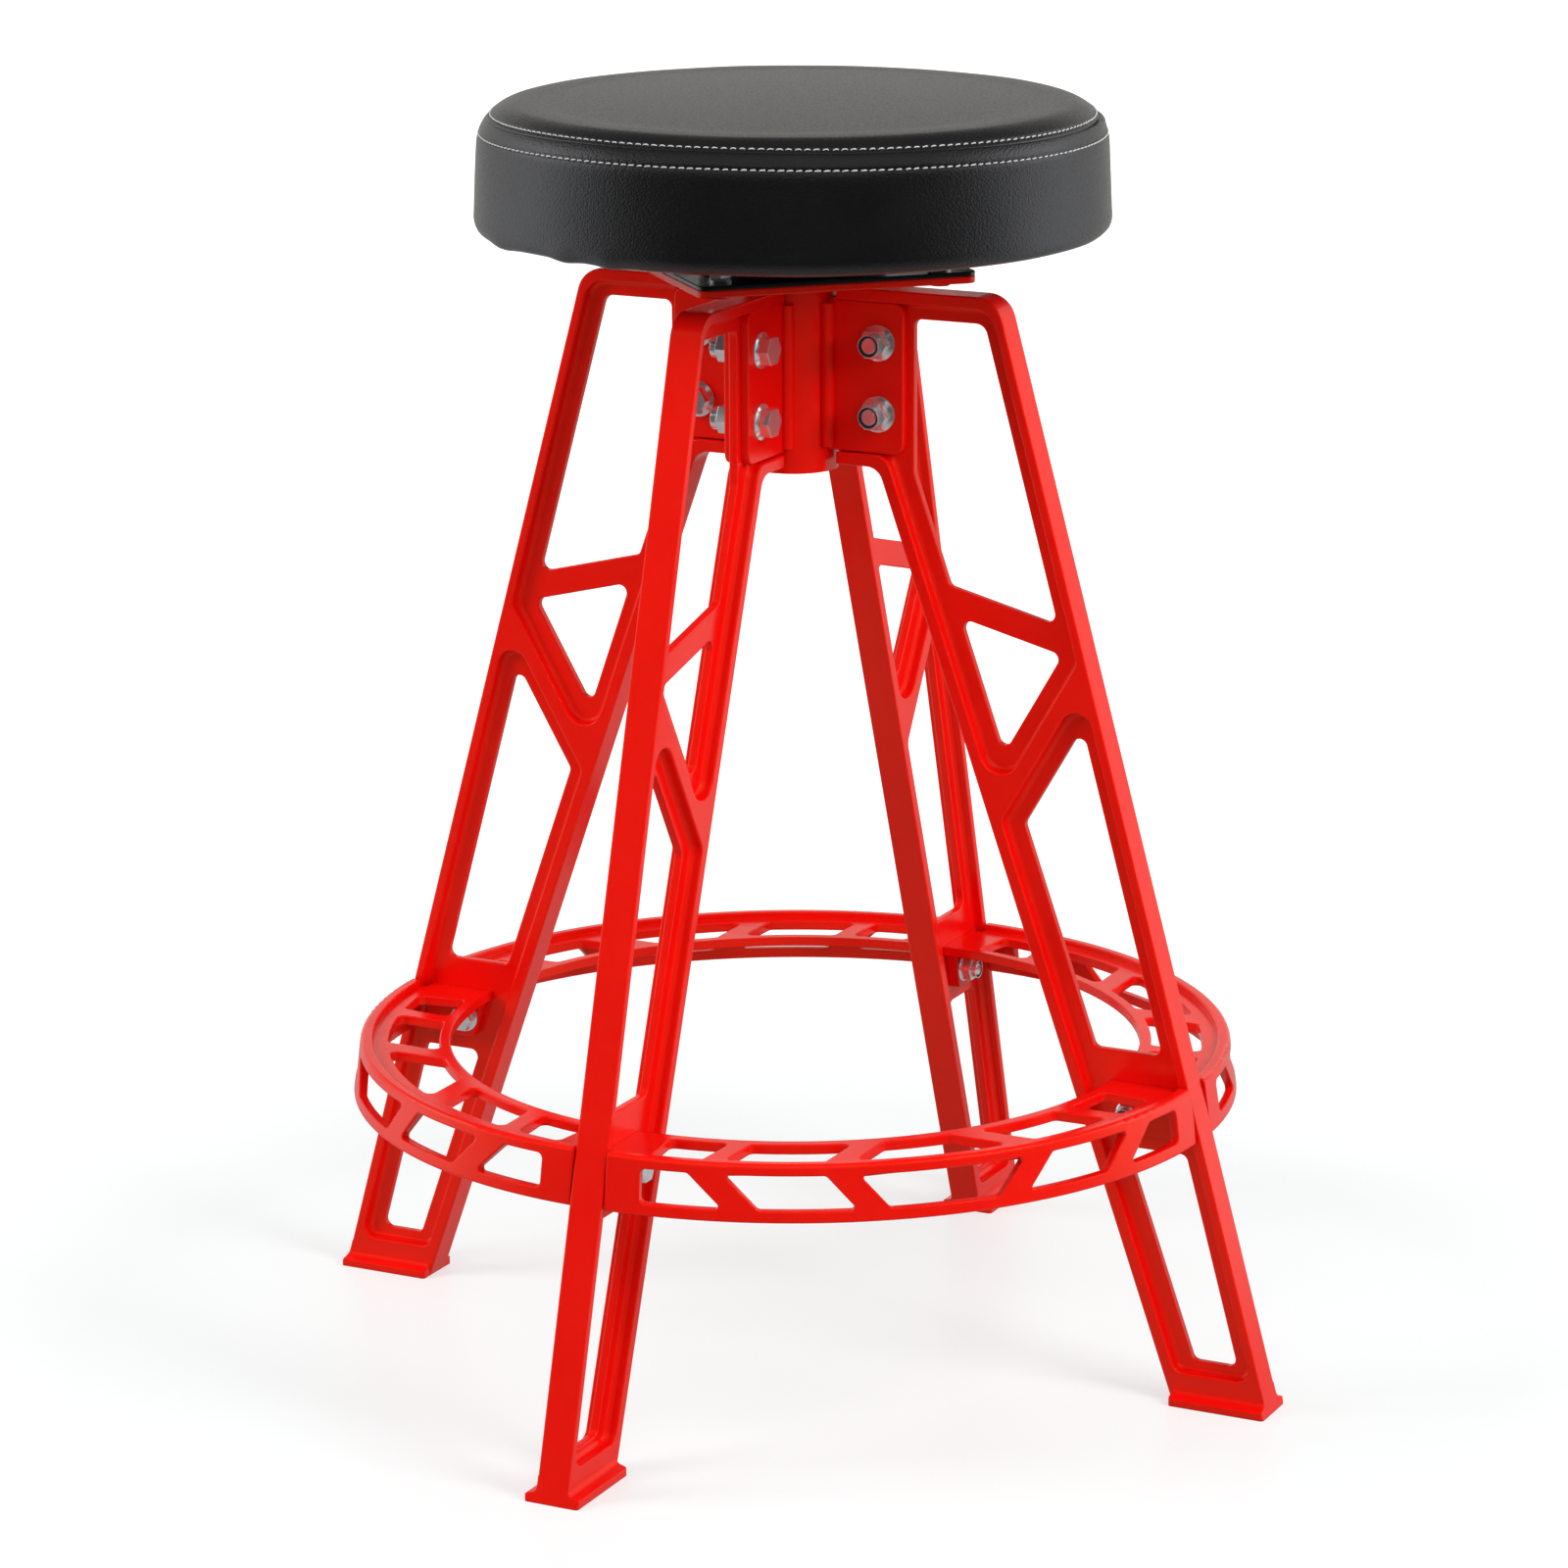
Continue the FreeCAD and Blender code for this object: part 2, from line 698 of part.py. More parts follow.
def fastener_set(seats, diameter, flange, hex_width, head, height):
    """Bolts, nuts and nylon rings at all four legs for the given seats on the leg on +X."""
    outward = Vector(0, 1, 0)
    bolts = []
    nuts = []
    inserts = []
    for head_seat, nut_seat in seats:
        grip = (head_seat - nut_seat).Length
        tail = height * bolt_tail_share
        bolt = make_flange_bolt(diameter, flange, hex_width, head, grip, tail, head_seat, outward)
        bolts += all_round(bolt)
        nuts += all_round(make_flange_nut(diameter, flange, hex_width, height, nut_seat, -outward))
        inserts += all_round(make_nut_insert(diameter, hex_width, height, nut_seat, -outward))
    return bolts, nuts, inserts


def ring_section():
    """Wall, raised lip and tread of the footring in (r, z)."""
    wall_inner_low = ring_outer_r + ring_wall_lean - ring_wall
    wall_inner_high = ring_outer_r - ring_wall
    return [
        (ring_outer_r + ring_wall_lean, ring_bottom_z, ring_small_edge),
        (ring_outer_r, ring_top_z, ring_edge_radius),
        (ring_outer_r - ring_lip, ring_top_z, ring_small_edge),
        (ring_outer_r - ring_lip, ring_plate_top_z, 0),
        (ring_inner_r, ring_plate_top_z, ring_small_edge),
        (ring_inner_r, ring_plate_bottom_z, ring_small_edge),
        (wall_inner_high, ring_plate_bottom_z, ring_small_edge),
        (wall_inner_low, ring_bottom_z, ring_small_edge),
    ]


def ring_foot_outer_r():
    """How far out the footring reaches inside a leg's recess, clear of the recess's rounded corner."""
    return leg_outer(ring_plate_top_z) - outer_flange - pocket_floor_fillet - ring_leg_gap


def wall_window(corners):
    """Cutter through the footring's wall from (degrees, z) corners, square to the wall at its own middle."""
    turns = [degrees for degrees, z, radius in corners]
    middle = (min(turns) + max(turns)) / 2
    turn = math.radians(45 + middle)
    outward = Vector(math.cos(turn), math.sin(turn), 0)
    along = Vector(-math.sin(turn), math.cos(turn), 0)
    start = outward * (ring_outer_r - 2 * ring_wall)

    def place(p):
        return start + along * p.x + axis_up * p.y

    flat = [(ring_outer_r * math.sin(math.radians(degrees - middle)), z, radius)
            for degrees, z, radius in corners]
    return Part.Face(rounded_wire(flat, place)).extrude(outward * (4 * ring_lip))


def wall_windows():
    """The five windows of a footring quarter's wall: a middle one and two mirrored pairs."""
    low = ring_window_low_z
    high = ring_window_high_z
    corner = ring_window_corner
    tip = ring_window_tip
    middle_high, middle_low = middle_window_edge
    outlines = [[(-middle_low, low, corner), (middle_low, low, corner), (middle_high, high, tip),
                 (-middle_high, high, tip)]]
    for side in (-1, 1):
        inner_high, inner_low = [side * turn for turn in side_window_inner]
        outer_high, outer_low = [side * turn for turn in side_window_outer]
        slant_high, slant_low = [side * turn for turn in end_window_slant]
        end = side * end_window_angle
        outlines.append([(inner_low, low, tip), (outer_low, low, corner), (outer_high, high, tip),
                         (inner_high, high, corner)])
        outlines.append([(slant_low, low, tip), (end, low, corner), (end, high, corner),
                         (slant_high, high, corner)])
    return [wall_window(outline) for outline in outlines]


def tread_slot(first, second):
    """Cutter for a slot of the tread between two slanted edges given as (outer, inner) degrees."""
    low = ring_plate_bottom_z - ring_plate_thickness
    high = ring_top_z

    def spot(r, degrees):
        turn = math.radians(45 + degrees)
        return Vector(r * math.cos(turn), r * math.sin(turn), low)

    outer = Part.Arc(spot(ring_slot_outer_r, first[0]), spot(ring_slot_outer_r, (first[0] + second[0]) / 2),
                     spot(ring_slot_outer_r, second[0])).toShape()
    inner = Part.Arc(spot(ring_slot_inner_r, second[1]), spot(ring_slot_inner_r, (first[1] + second[1]) / 2),
                     spot(ring_slot_inner_r, first[1])).toShape()
    far = Part.LineSegment(spot(ring_slot_outer_r, second[0]), spot(ring_slot_inner_r, second[1])).toShape()
    near = Part.LineSegment(spot(ring_slot_inner_r, first[1]), spot(ring_slot_outer_r, first[0])).toShape()
    tool = Part.Face(Part.Wire([outer, far, inner, near])).extrude(Vector(0, 0, high - low))
    uprights = [edge for edge in tool.Edges if edge.BoundBox.ZLength > ring_plate_thickness]
    return tool.makeFillet(ring_slot_corner, uprights)


def tread_slots():
    """The five slots of a footring quarter's tread: a middle one and two mirrored pairs."""
    ends = (end_slot_angle, end_slot_angle)
    slots = [tread_slot(tuple(-d for d in strut_two_inner_side), strut_two_inner_side)]
    for side in (-1, 1):
        turned = [tuple(side * d for d in edge) for edge in
                  (strut_two_outer_side, strut_one_inner_side, strut_one_outer_side, ends)]
        slots.append(tread_slot(turned[0], turned[1]))
        slots.append(tread_slot(turned[2], turned[3]))
    return slots


def ring_foot():
    """Upright plate at the end of a footring quarter, bolted to the web of the leg on +X on its +t side."""
    outer = ring_foot_outer_r()
    corners = [
        (ring_foot_inner_low_r, ring_bottom_z, ring_foot_corner),
        (outer, ring_bottom_z, ring_foot_corner),
        (outer, ring_plate_top_z, 0),
        (ring_foot_inner_top_r, ring_plate_top_z, 0),
    ]
    plate = leg_prism(corners, half_web, ring_foot_face_t)
    return plate.cut(cross_cylinder(ring_hole_radius, ring_bolt_r, ring_bolt_z, half_web, ring_foot_face_t))


def on_outer_wall(edge):
    """Whether the middle of an edge lies on the leaning outer face of the footring's wall."""
    middle = edge_middle(edge)
    lean = ring_wall_lean * (ring_top_z - middle.z) / (ring_top_z - ring_bottom_z)
    return abs(math.hypot(middle.x, middle.y) - ring_outer_r - lean) < fit_clearance


def make_footring_quarter():
    """Footring quarter between the legs on +X and +Y, with its two bolted feet."""
    wire = rounded_wire(ring_section(), lambda p: Vector(p.x, 0, p.y))
    band = Part.Face(wire).revolve(axis_foot, axis_up, 90)
    reach = 2 * ring_outer_r
    start = half_leg + ring_leg_gap
    body = band.common(Part.makeBox(reach, reach, reach, Vector(start, start, 0)))
    tread = upright_cylinder(ring_foot_outer_r(), ring_plate_bottom_z, ring_plate_top_z)
    tread = tread.cut(upright_cylinder(ring_inner_r, ring_plate_bottom_z, ring_plate_top_z))
    tread = tread.common(Part.makeBox(reach, reach, reach, Vector(half_web, half_web, 0)))
    foot = ring_foot()
    mirrored = foot.mirror(axis_foot, Vector(1, -1, 0))
    body = body.fuse([tread, foot, mirrored]).removeSplitter()
    windows = wall_windows()
    slots = tread_slots()
    body = body.cut(windows + slots)
    mouths = [edge for edge in body.Edges if on_outer_wall(edge) and on_any(windows, edge)]
    mouths += flat_edges(body, "z", ring_plate_top_z, lambda edge: on_any(slots, edge))
    return body.makeFillet(ring_mouth_edge, mouths)


def race_groove(ball_centre_z):
    """Cutter for the ring groove that the balls run in."""
    return Part.makeTorus(race_radius, ball_diameter / 2 + ball_clearance, Vector(0, 0, ball_centre_z))


def race_bed(near_z, far_z):
    """Pressed ring that carries a race: from the plate at near_z to the rolling side at far_z."""
    return [
        (race_radius - race_half_width, near_z, 0),
        (race_radius + race_half_width, near_z, 0),
        (race_radius + race_half_width, far_z, race_edge),
        (race_radius - race_half_width, far_z, race_edge),
    ]


ball_centre_z = (hub_plate_top_z + swivel_top_z) / 2
bed_gap = cage_thickness / 2 + rivet_clearance
rivet_flange_r = rivet_radius + rivet_flange
rivet_boss_r = rivet_flange_r + rivet_boss_wall
rivet_top_z = swivel_top_z - rivet_clearance
rivet_head_z = rivet_top_z - rivet_flange_thickness


def make_swivel_lower_plate():
    """Lower plate of the swivel with its raised race, bolted to the hub."""
    top = hub_plate_top_z + swivel_plate_thickness
    plate = plan_prism(square_corners(hub_plate_side, hub_plate_corner), hub_plate_top_z, top)
    plate = plate.makeFillet(plate_edge, level_edges(plate))
    boss = upright_cylinder(rivet_boss_r, hub_plate_top_z, hub_plate_top_z + rivet_boss_height)
    plate = plate.fuse([revolved(race_bed(hub_plate_top_z, ball_centre_z - bed_gap)), boss])
    hole = upright_cylinder(swivel_hole_radius, hub_plate_top_z, top, swivel_bolt_r)
    bore = upright_cylinder(rivet_radius, hub_plate_top_z, swivel_top_z)
    flange_seat = upright_cylinder(rivet_flange_r + fit_clearance, hub_plate_top_z,
                                   hub_plate_top_z + rivet_flange_thickness)
    return plate.cut([race_groove(ball_centre_z), bore, flange_seat] + all_round(hole)).removeSplitter()


def seat_screw_places():
    """Plan places of the four screws that hold the swivel to the seat board."""
    turn = math.radians(45)
    reach = (swivel_upper_side / 2 - seat_screw_edge) * math.sqrt(2)
    return [(reach * math.cos(turn + step * math.pi / 2), reach * math.sin(turn + step * math.pi / 2))
            for step in range(4)]


def make_swivel_upper_plate():
    """Upper plate of the swivel with its race, screwed under the seat."""
    bottom = swivel_top_z - swivel_plate_thickness
    side = swivel_upper_side / 2
    corners = [(side, -side, hub_plate_corner), (side, side, hub_plate_corner),
               (-side, side, hub_plate_corner), (-side, -side, hub_plate_corner)]
    plate = plan_prism(corners, bottom, swivel_top_z)
    boss = upright_cylinder(rivet_boss_r, swivel_top_z - rivet_boss_height, swivel_top_z)
    plate = plate.fuse([revolved(race_bed(swivel_top_z, ball_centre_z + bed_gap)), boss])
    bore = upright_cylinder(rivet_radius + rivet_clearance, ball_centre_z, swivel_top_z)
    room_floor = rivet_head_z - rivet_clearance
    flange_room = upright_cylinder(rivet_flange_r + rivet_clearance, room_floor, swivel_top_z)
    cuts = [race_groove(ball_centre_z), bore, flange_room]
    for x, y in seat_screw_places():
        cuts.append(upright_cylinder(screw_hole_radius, bottom, swivel_top_z, x, y))
    return plate.cut(cuts).removeSplitter()


def ball_places():
    """Centres of the balls round the race."""
    turns = [2 * math.pi * step / ball_count for step in range(ball_count)]
    return [Vector(race_radius * math.cos(turn), race_radius * math.sin(turn), ball_centre_z)
            for turn in turns]


def make_balls():
    """Balls of the swivel."""
    return [Part.makeSphere(ball_diameter / 2, centre) for centre in ball_places()]


def make_ball_cage():
    """Flat ring that spaces the balls."""
    low = ball_centre_z - cage_thickness / 2
    high = ball_centre_z + cage_thickness / 2
    ring = upright_cylinder(race_radius + cage_half_width, low, high)
    ring = ring.cut(upright_cylinder(race_radius - cage_half_width, low, high))
    pockets = [upright_cylinder(ball_diameter / 2 + ball_clearance, low, high, centre.x, centre.y)
               for centre in ball_places()]
    return ring.cut(pockets)


def make_swivel_rivet():
    """Hollow rivet with a flange under the lower plate's boss and one over the upper plate's boss."""
    low = hub_plate_top_z
    outer = rivet_radius - fit_clearance
    return revolved([
        (outer - rivet_wall, low, 0),
        (rivet_flange_r, low, 0),
        (rivet_flange_r, low + rivet_flange_thickness - fit_clearance, 0),
        (outer, low + rivet_flange_thickness - fit_clearance, 0),
        (outer, rivet_head_z, 0),
        (rivet_flange_r, rivet_head_z, 0),
        (rivet_flange_r, rivet_top_z, 0),
        (outer - rivet_wall, rivet_top_z, 0),
    ])


def make_swivel_fasteners():
    """Low-headed bolts up through the hub plate, with washers and nuts on the swivel's lower plate."""
    plate_top = hub_plate_top_z + swivel_plate_thickness
    washer_top = plate_top + swivel_washer
    nut_top = washer_top + swivel_nut_height
    radius = swivel_bolt_diameter / 2
    seat = Vector(swivel_bolt_r, 0, washer_top)
    head_edge = swivel_bolt_head_diameter / 2
    head_low = hub_plate_bottom_z - swivel_bolt_head
    head = Part.makeCone(head_edge - swivel_bolt_head / 2, head_edge, swivel_bolt_head,
                         Vector(swivel_bolt_r, 0, head_low))
    shank = upright_cylinder(radius, head_low, nut_top + swivel_bolt_tail, swivel_bolt_r)
    bolt = head.fuse(shank)
    bore = upright_cylinder(radius + fit_clearance, plate_top, nut_top, swivel_bolt_r)
    washer = upright_cylinder(swivel_washer_diameter / 2, plate_top, washer_top, swivel_bolt_r).cut(bore)
    nut = chamfered_hexagon(swivel_nut_width, seat, axis_up, swivel_nut_height).cut(bore)
    return all_round(bolt), all_round(washer), all_round(nut)


def seat_profile(inset):
    """Seat's outline as edges in (r, z), moved inwards by inset: bottom round, side, top round, crown."""
    bottom_r = seat_side_r - seat_bottom_round
    bottom_z = seat_bottom_z + seat_bottom_round
    low = seat_bottom_round - inset
    high = seat_top_round - inset
    cos45 = math.sqrt(0.5)

    def spot(r, z):
        return Vector(r, 0, z)

    hem = spot(bottom_r, seat_bottom_z + inset)
    side_low = spot(seat_side_r - inset, bottom_z)
    side_high = spot(seat_top_r - inset, seat_round_z)
    rim = spot(seat_round_r, seat_rim_z - inset)
    peak = spot(0, seat_rim_z + seat_crown - inset)
    half_crown = math.asin(seat_round_r / crown_radius) / 2
    crown_drop = crown_radius * (1 - math.cos(half_crown))
    crown_middle = spot(crown_radius * math.sin(half_crown), peak.z - crown_drop)
    low_middle = spot(bottom_r + low * cos45, bottom_z - low * cos45)
    high_middle = spot(seat_round_r + high * cos45, seat_round_z + high * cos45)
    return {
        "hem": hem, "side_low": side_low, "side_high": side_high, "rim": rim, "peak": peak,
        "bottom_round": Part.Arc(hem, low_middle, side_low).toShape(),
        "side": Part.LineSegment(side_low, side_high).toShape(),
        "top_round": Part.Arc(side_high, high_middle, rim).toShape(),
        "crown": Part.Arc(rim, crown_middle, peak).toShape(),
    }


def on_top_round(degrees, inset):
    """Point of the seat's top edge round, at an angle above the level, moved inwards by inset."""
    turn = math.radians(degrees)
    reach = seat_top_round - inset
    return Vector(seat_round_r + reach * math.cos(turn), 0, seat_round_z + reach * math.sin(turn))


def round_arc(start_degrees, end_degrees, inset):
    """Arc of the seat's top edge round between two angles."""
    middle = (start_degrees + end_degrees) / 2
    return Part.Arc(on_top_round(start_degrees, inset), on_top_round(middle, inset),
                    on_top_round(end_degrees, inset)).toShape()


def line(first, second):
    """Straight edge between two points."""
    return Part.LineSegment(first, second).toShape()


def spun(edges):
    """Solid of revolution of a closed outline of edges."""
    return Part.Face(Part.Wire(Part.__sortEdges__(edges))).revolve(axis_foot, axis_up, 360)


def seam_step():
    """Half of the seam's gap, in degrees of the top edge round."""
    return math.degrees(seam_gap / 2 / seat_top_round)


def make_cover_band():
    """Side band of the cover: from its hem under the board, round the bottom edge and up to the seam."""
    outer = seat_profile(0)
    inner = seat_profile(cover_thickness)
    seam = seam_angle - seam_step()
    hem_r = outer["hem"].x - hem_width
    hem_outer = Vector(hem_r, 0, outer["hem"].z)
    hem_inner = Vector(hem_r, 0, inner["hem"].z)
    return spun([
        line(hem_outer, outer["hem"]), outer["bottom_round"], outer["side"], round_arc(0, seam, 0),
        line(on_top_round(seam, 0), on_top_round(seam, cover_thickness)),
        round_arc(seam, 0, cover_thickness), inner["side"], inner["bottom_round"],
        line(inner["hem"], hem_inner), line(hem_inner, hem_outer),
    ])


def make_cover_top():
    """Top panel of the cover: from the seam over the edge round to the crown's middle."""
    outer = seat_profile(0)
    inner = seat_profile(cover_thickness)
    seam = seam_angle + seam_step()
    return spun([
        round_arc(seam, 90, 0), outer["crown"], line(outer["peak"], inner["peak"]), inner["crown"],
        round_arc(90, seam, cover_thickness),
        line(on_top_round(seam, cover_thickness), on_top_round(seam, 0)),
    ])


def make_foam():
    """Foam pad on the board, with the seat's crown and leaning side, clear of the tee nuts' flanges."""
    inside = seat_profile(cover_thickness + cover_gap)
    foot_r = board_radius()
    foot = Vector(foot_r, 0, board_top_z)
    centre = Vector(0, 0, board_top_z)
    pad = spun([line(centre, foot), line(foot, inside["side_high"]), inside["top_round"], inside["crown"],
                line(inside["peak"], centre)])
    for x, y in seat_screw_places():
        pad = pad.cut(upright_cylinder(tee_nut_flange_diameter / 2 + cover_gap, board_top_z,
                                       board_top_z + tee_nut_flange + cover_gap, x, y))
    return pad


def board_radius():
    """Radius of the seat board inside the cover's side."""
    return seat_side_r - cover_thickness - 2 * cover_gap


def make_board():
    """Plywood seat board, its lower edge rounded for the cover, drilled for the tee nuts."""
    corners = [(0, board_bottom_z, 0), (board_radius(), board_bottom_z, seat_bottom_round),
               (board_radius(), board_top_z, 0), (0, board_top_z, 0)]
    board = revolved(corners)
    barrel_hole = tee_nut_barrel_diameter / 2 + fit_clearance
    for x, y in seat_screw_places():
        board = board.cut(upright_cylinder(barrel_hole, board_bottom_z, board_top_z, x, y))
    return board


def make_dust_cover():
    """Thin cloth under the board: flat on the board in the middle, over the cover's hem at its edge."""
    hem_r = seat_side_r - seat_bottom_round - hem_width
    step_r = hem_r - cover_gap
    edge_r = hem_r + dust_cover_overlap
    low = seat_bottom_z - dust_cover_thickness
    disc = upright_cylinder(step_r, swivel_top_z, board_bottom_z)
    rim = upright_cylinder(edge_r, low, seat_bottom_z).cut(
        upright_cylinder(step_r - dust_cover_thickness, low, seat_bottom_z))
    riser = upright_cylinder(step_r, low, board_bottom_z).cut(
        upright_cylinder(step_r - dust_cover_thickness, low, board_bottom_z))
    cloth = disc.fuse([rim, riser]).removeSplitter()
    for x, y in seat_screw_places():
        cloth = cloth.cut(upright_cylinder(screw_hole_radius, swivel_top_z, board_bottom_z, x, y))
    return cloth


def make_thread_row(degrees):
    """One row of top stitching: a thread lying on the cover at an angle of the top edge round."""
    centre = on_top_round(degrees, -thread_diameter / 2 - fit_clearance)
    return Part.makeTorus(centre.x, thread_diameter / 2, Vector(0, 0, centre.z))


def make_seat_screws():
    """Pan-headed screws up through the swivel's upper plate into the tee nuts."""
    seat = swivel_top_z - swivel_plate_thickness
    top = board_top_z - cover_gap
    head_edge = seat_screw_head_diameter / 2
    screws = []
    for x, y in seat_screw_places():
        shank = upright_cylinder(seat_screw_diameter / 2, seat, top, x, y)
        head = Part.makeCone(head_edge - seat_screw_head / 2, head_edge, seat_screw_head,
                             Vector(x, y, seat - seat_screw_head))
        screws.append(shank.fuse(head))
    return screws


def make_tee_nuts():
    """Tee nuts: a flange on top of the board and a barrel down its hole."""
    low = board_top_z - tee_nut_depth
    top = board_top_z + tee_nut_flange
    nuts = []
    for x, y in seat_screw_places():
        flange = upright_cylinder(tee_nut_flange_diameter / 2, board_top_z, top, x, y)
        barrel = upright_cylinder(tee_nut_barrel_diameter / 2, low, board_top_z, x, y)
        bore = upright_cylinder(seat_screw_diameter / 2 + fit_clearance, low, top, x, y)
        nuts.append(flange.fuse(barrel).cut(bore))
    return nuts


def make_nodes():
    """Every node of the stool by name, as a list of its separate solids."""
    nodes = {}
    leg = make_leg()
    quarter = make_footring_quarter()
    for step, name in enumerate(quarter_names):
        nodes["leg_" + name] = [quarter_turn(leg, step)]
        following = quarter_names[(step + 1) % leg_count]
        nodes["footring_" + name + "_" + following] = [quarter_turn(quarter, step)]
        nodes["ear_" + name + "_head_side"] = [quarter_turn(make_ear(1), step)]
        nodes["ear_" + name + "_nut_side"] = [quarter_turn(make_ear(-1), step)]
    nodes["hub_tube"] = [upright_cylinder(tube_r, tube_bottom_z, hub_plate_bottom_z).cut(
        upright_cylinder(tube_r - tube_wall, tube_bottom_z, hub_plate_bottom_z))]
    nodes["hub_top_plate"] = [make_hub_plate()]
    nodes["ear_welds"] = all_round(make_ear_weld(1)) + all_round(make_ear_weld(-1))
    nodes["top_plate_weld"] = [make_plate_weld()]
    nodes["leg_bolts"], nodes["leg_nuts"], nodes["leg_nut_inserts"] = fastener_set(
        leg_fastener_seats(), leg_bolt_diameter, leg_bolt_flange, leg_bolt_hex, leg_bolt_head,
        leg_nut_height)
    nodes["footring_bolts"], nodes["footring_nuts"], nodes["footring_nut_inserts"] = fastener_set(
        ring_fastener_seats(), ring_bolt_diameter, ring_bolt_flange, ring_bolt_hex, ring_bolt_head,
        ring_nut_height)
    nodes["swivel_lower_plate"] = [make_swivel_lower_plate()]
    nodes["swivel_upper_plate"] = [make_swivel_upper_plate()]
    nodes["swivel_rivet"] = [make_swivel_rivet()]
    nodes["swivel_balls"] = make_balls()
    nodes["swivel_ball_cage"] = [make_ball_cage()]
    nodes["swivel_bolts"], nodes["swivel_washers"], nodes["swivel_nuts"] = make_swivel_fasteners()
    nodes["seat_board"] = [make_board()]
    nodes["seat_foam"] = [make_foam()]
    nodes["seat_cover_band"] = [make_cover_band()]
    nodes["seat_cover_top"] = [make_cover_top()]
    nodes["seat_dust_cover"] = [make_dust_cover()]
    nodes["seat_stitch_lower"] = [make_thread_row(thread_row_angles[0])]
    nodes["seat_stitch_upper"] = [make_thread_row(thread_row_angles[1])]
    nodes["seat_screws"] = make_seat_screws()
    nodes["seat_tee_nuts"] = make_tee_nuts()
    return nodes


os.makedirs("parts", exist_ok=True)
for name, solids in make_nodes().items():
    shape = solids[0] if len(solids) == 1 else Part.makeCompound(solids)
    state = "valid" if shape.isValid() else "INVALID"
    print(name, len(shape.Solids), "solids", round(shape.Volume), "mm3", state)
    shape.exportStep("parts/" + name + ".step")
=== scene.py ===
"""Shop stool: finishes of the frame, the padded leather seat with its stitching, and the studio."""

import math

import bpy
import numpy as np
from mathutils import Matrix


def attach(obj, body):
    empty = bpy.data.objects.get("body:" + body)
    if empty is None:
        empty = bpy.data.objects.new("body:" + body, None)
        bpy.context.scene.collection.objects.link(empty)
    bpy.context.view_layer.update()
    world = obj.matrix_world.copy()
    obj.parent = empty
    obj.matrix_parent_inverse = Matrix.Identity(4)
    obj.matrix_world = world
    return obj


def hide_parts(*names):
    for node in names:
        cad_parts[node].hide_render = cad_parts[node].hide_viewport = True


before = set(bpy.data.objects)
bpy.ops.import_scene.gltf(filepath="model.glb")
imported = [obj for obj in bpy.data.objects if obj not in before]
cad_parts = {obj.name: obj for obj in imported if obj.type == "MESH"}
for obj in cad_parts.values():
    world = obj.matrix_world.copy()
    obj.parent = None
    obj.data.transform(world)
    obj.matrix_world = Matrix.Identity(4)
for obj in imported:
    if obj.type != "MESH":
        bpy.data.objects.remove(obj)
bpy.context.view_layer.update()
scene = bpy.context.scene

# Seat sizes in metres: those of the part, with the leather up to a millimetre fuller
SEAT_SIDE_R = 0.1769
SEAT_TOP_R = 0.1752
SEAT_BOTTOM_Z = 0.6529
SEAT_RIM_Z = 0.7226
SEAT_CROWN = 0.0023
BOTTOM_ROUND = 0.0085
TOP_ROUND = 0.0225
HEM_WIDTH = 0.0285
ROUND_R = SEAT_TOP_R - TOP_ROUND
ROUND_Z = SEAT_RIM_Z - TOP_ROUND
SEAM_DEGREES = 45.0
LOWER_ROW_DEGREES = 20.0
UPPER_ROW_DEGREES = 53.0
LOWER_STITCHES = 224
UPPER_STITCHES = 212
LEATHER_THICK = 0.0045
SEAM_TUCK = 0.0002

# Wander of the seam and its rows: degrees on the top round, a turn in radians and its reach in metres
WANDER_MIDDLE = -2.35
WANDER_WAVE = 3.66
WANDER_QUIVER = 0.3
WANDER_AHEAD = 0.34
WANDER_REACH = 0.018

# Stitches: size of one in metres, its slant in degrees, how far each strays, and the grid of its mesh
STITCH_HALF = 0.00178
STITCH_SLANT = 5.0
STITCH_RISE = 0.00016
STITCH_DIP = 0.00080
STITCH_BED = 0.0001
THREAD_RADIUS = 0.00040
THREAD_WIDE, THREAD_FLAT, THREAD_TAPER = 1.12, 0.86, 0.55
TURN_STRAY, LENGTH_STRAY, SLANT_STRAY = 0.0006, 0.00008, 1.6
STITCH_STATIONS = 7
STITCH_SIDES = 6

# Swelling of the filled cover: the coarse mesh, the share of the pressure on the top, and the smoothing
SWELL_TURNS = 96
TOP_PRESSURE = 0.3
SWELL_FRAMES = 20
SWELL_LIMIT = 0.0006
ROUND_PASSES = 6
ALONG_PASSES = 2

# Relief of the leather in metres: heights or depths, and the widths over which they fade
COVER_TURNS = 720
DENSE_MARGIN, HEM_MARGIN, MIDDLE_MARGIN = 0.004, 0.006, 0.002
EDGE_REACH = 0.030
SEAM_DEPTH, SEAM_WIDTH = 0.00016, 0.00040
GAPE_DEPTH, GAPE_WIDTH = 0.0024, 0.0006
LIP_HEIGHT, LIP_WIDTH, LIP_BELOW = 0.0008, 0.0022, 0.0028
ROW_DEPTH, ROW_WIDTH = 0.00042, 0.0011
PUCKER_HEIGHT, PUCKER_WIDTH = 0.00009, 0.0042
WAVE_HEIGHT = 0.00010
HANG_DEPTH, HANG_WIDTH, HANG_ABOVE_HEM = 0.0017, 0.0068, 0.003
HANG_EASED = 0.0010

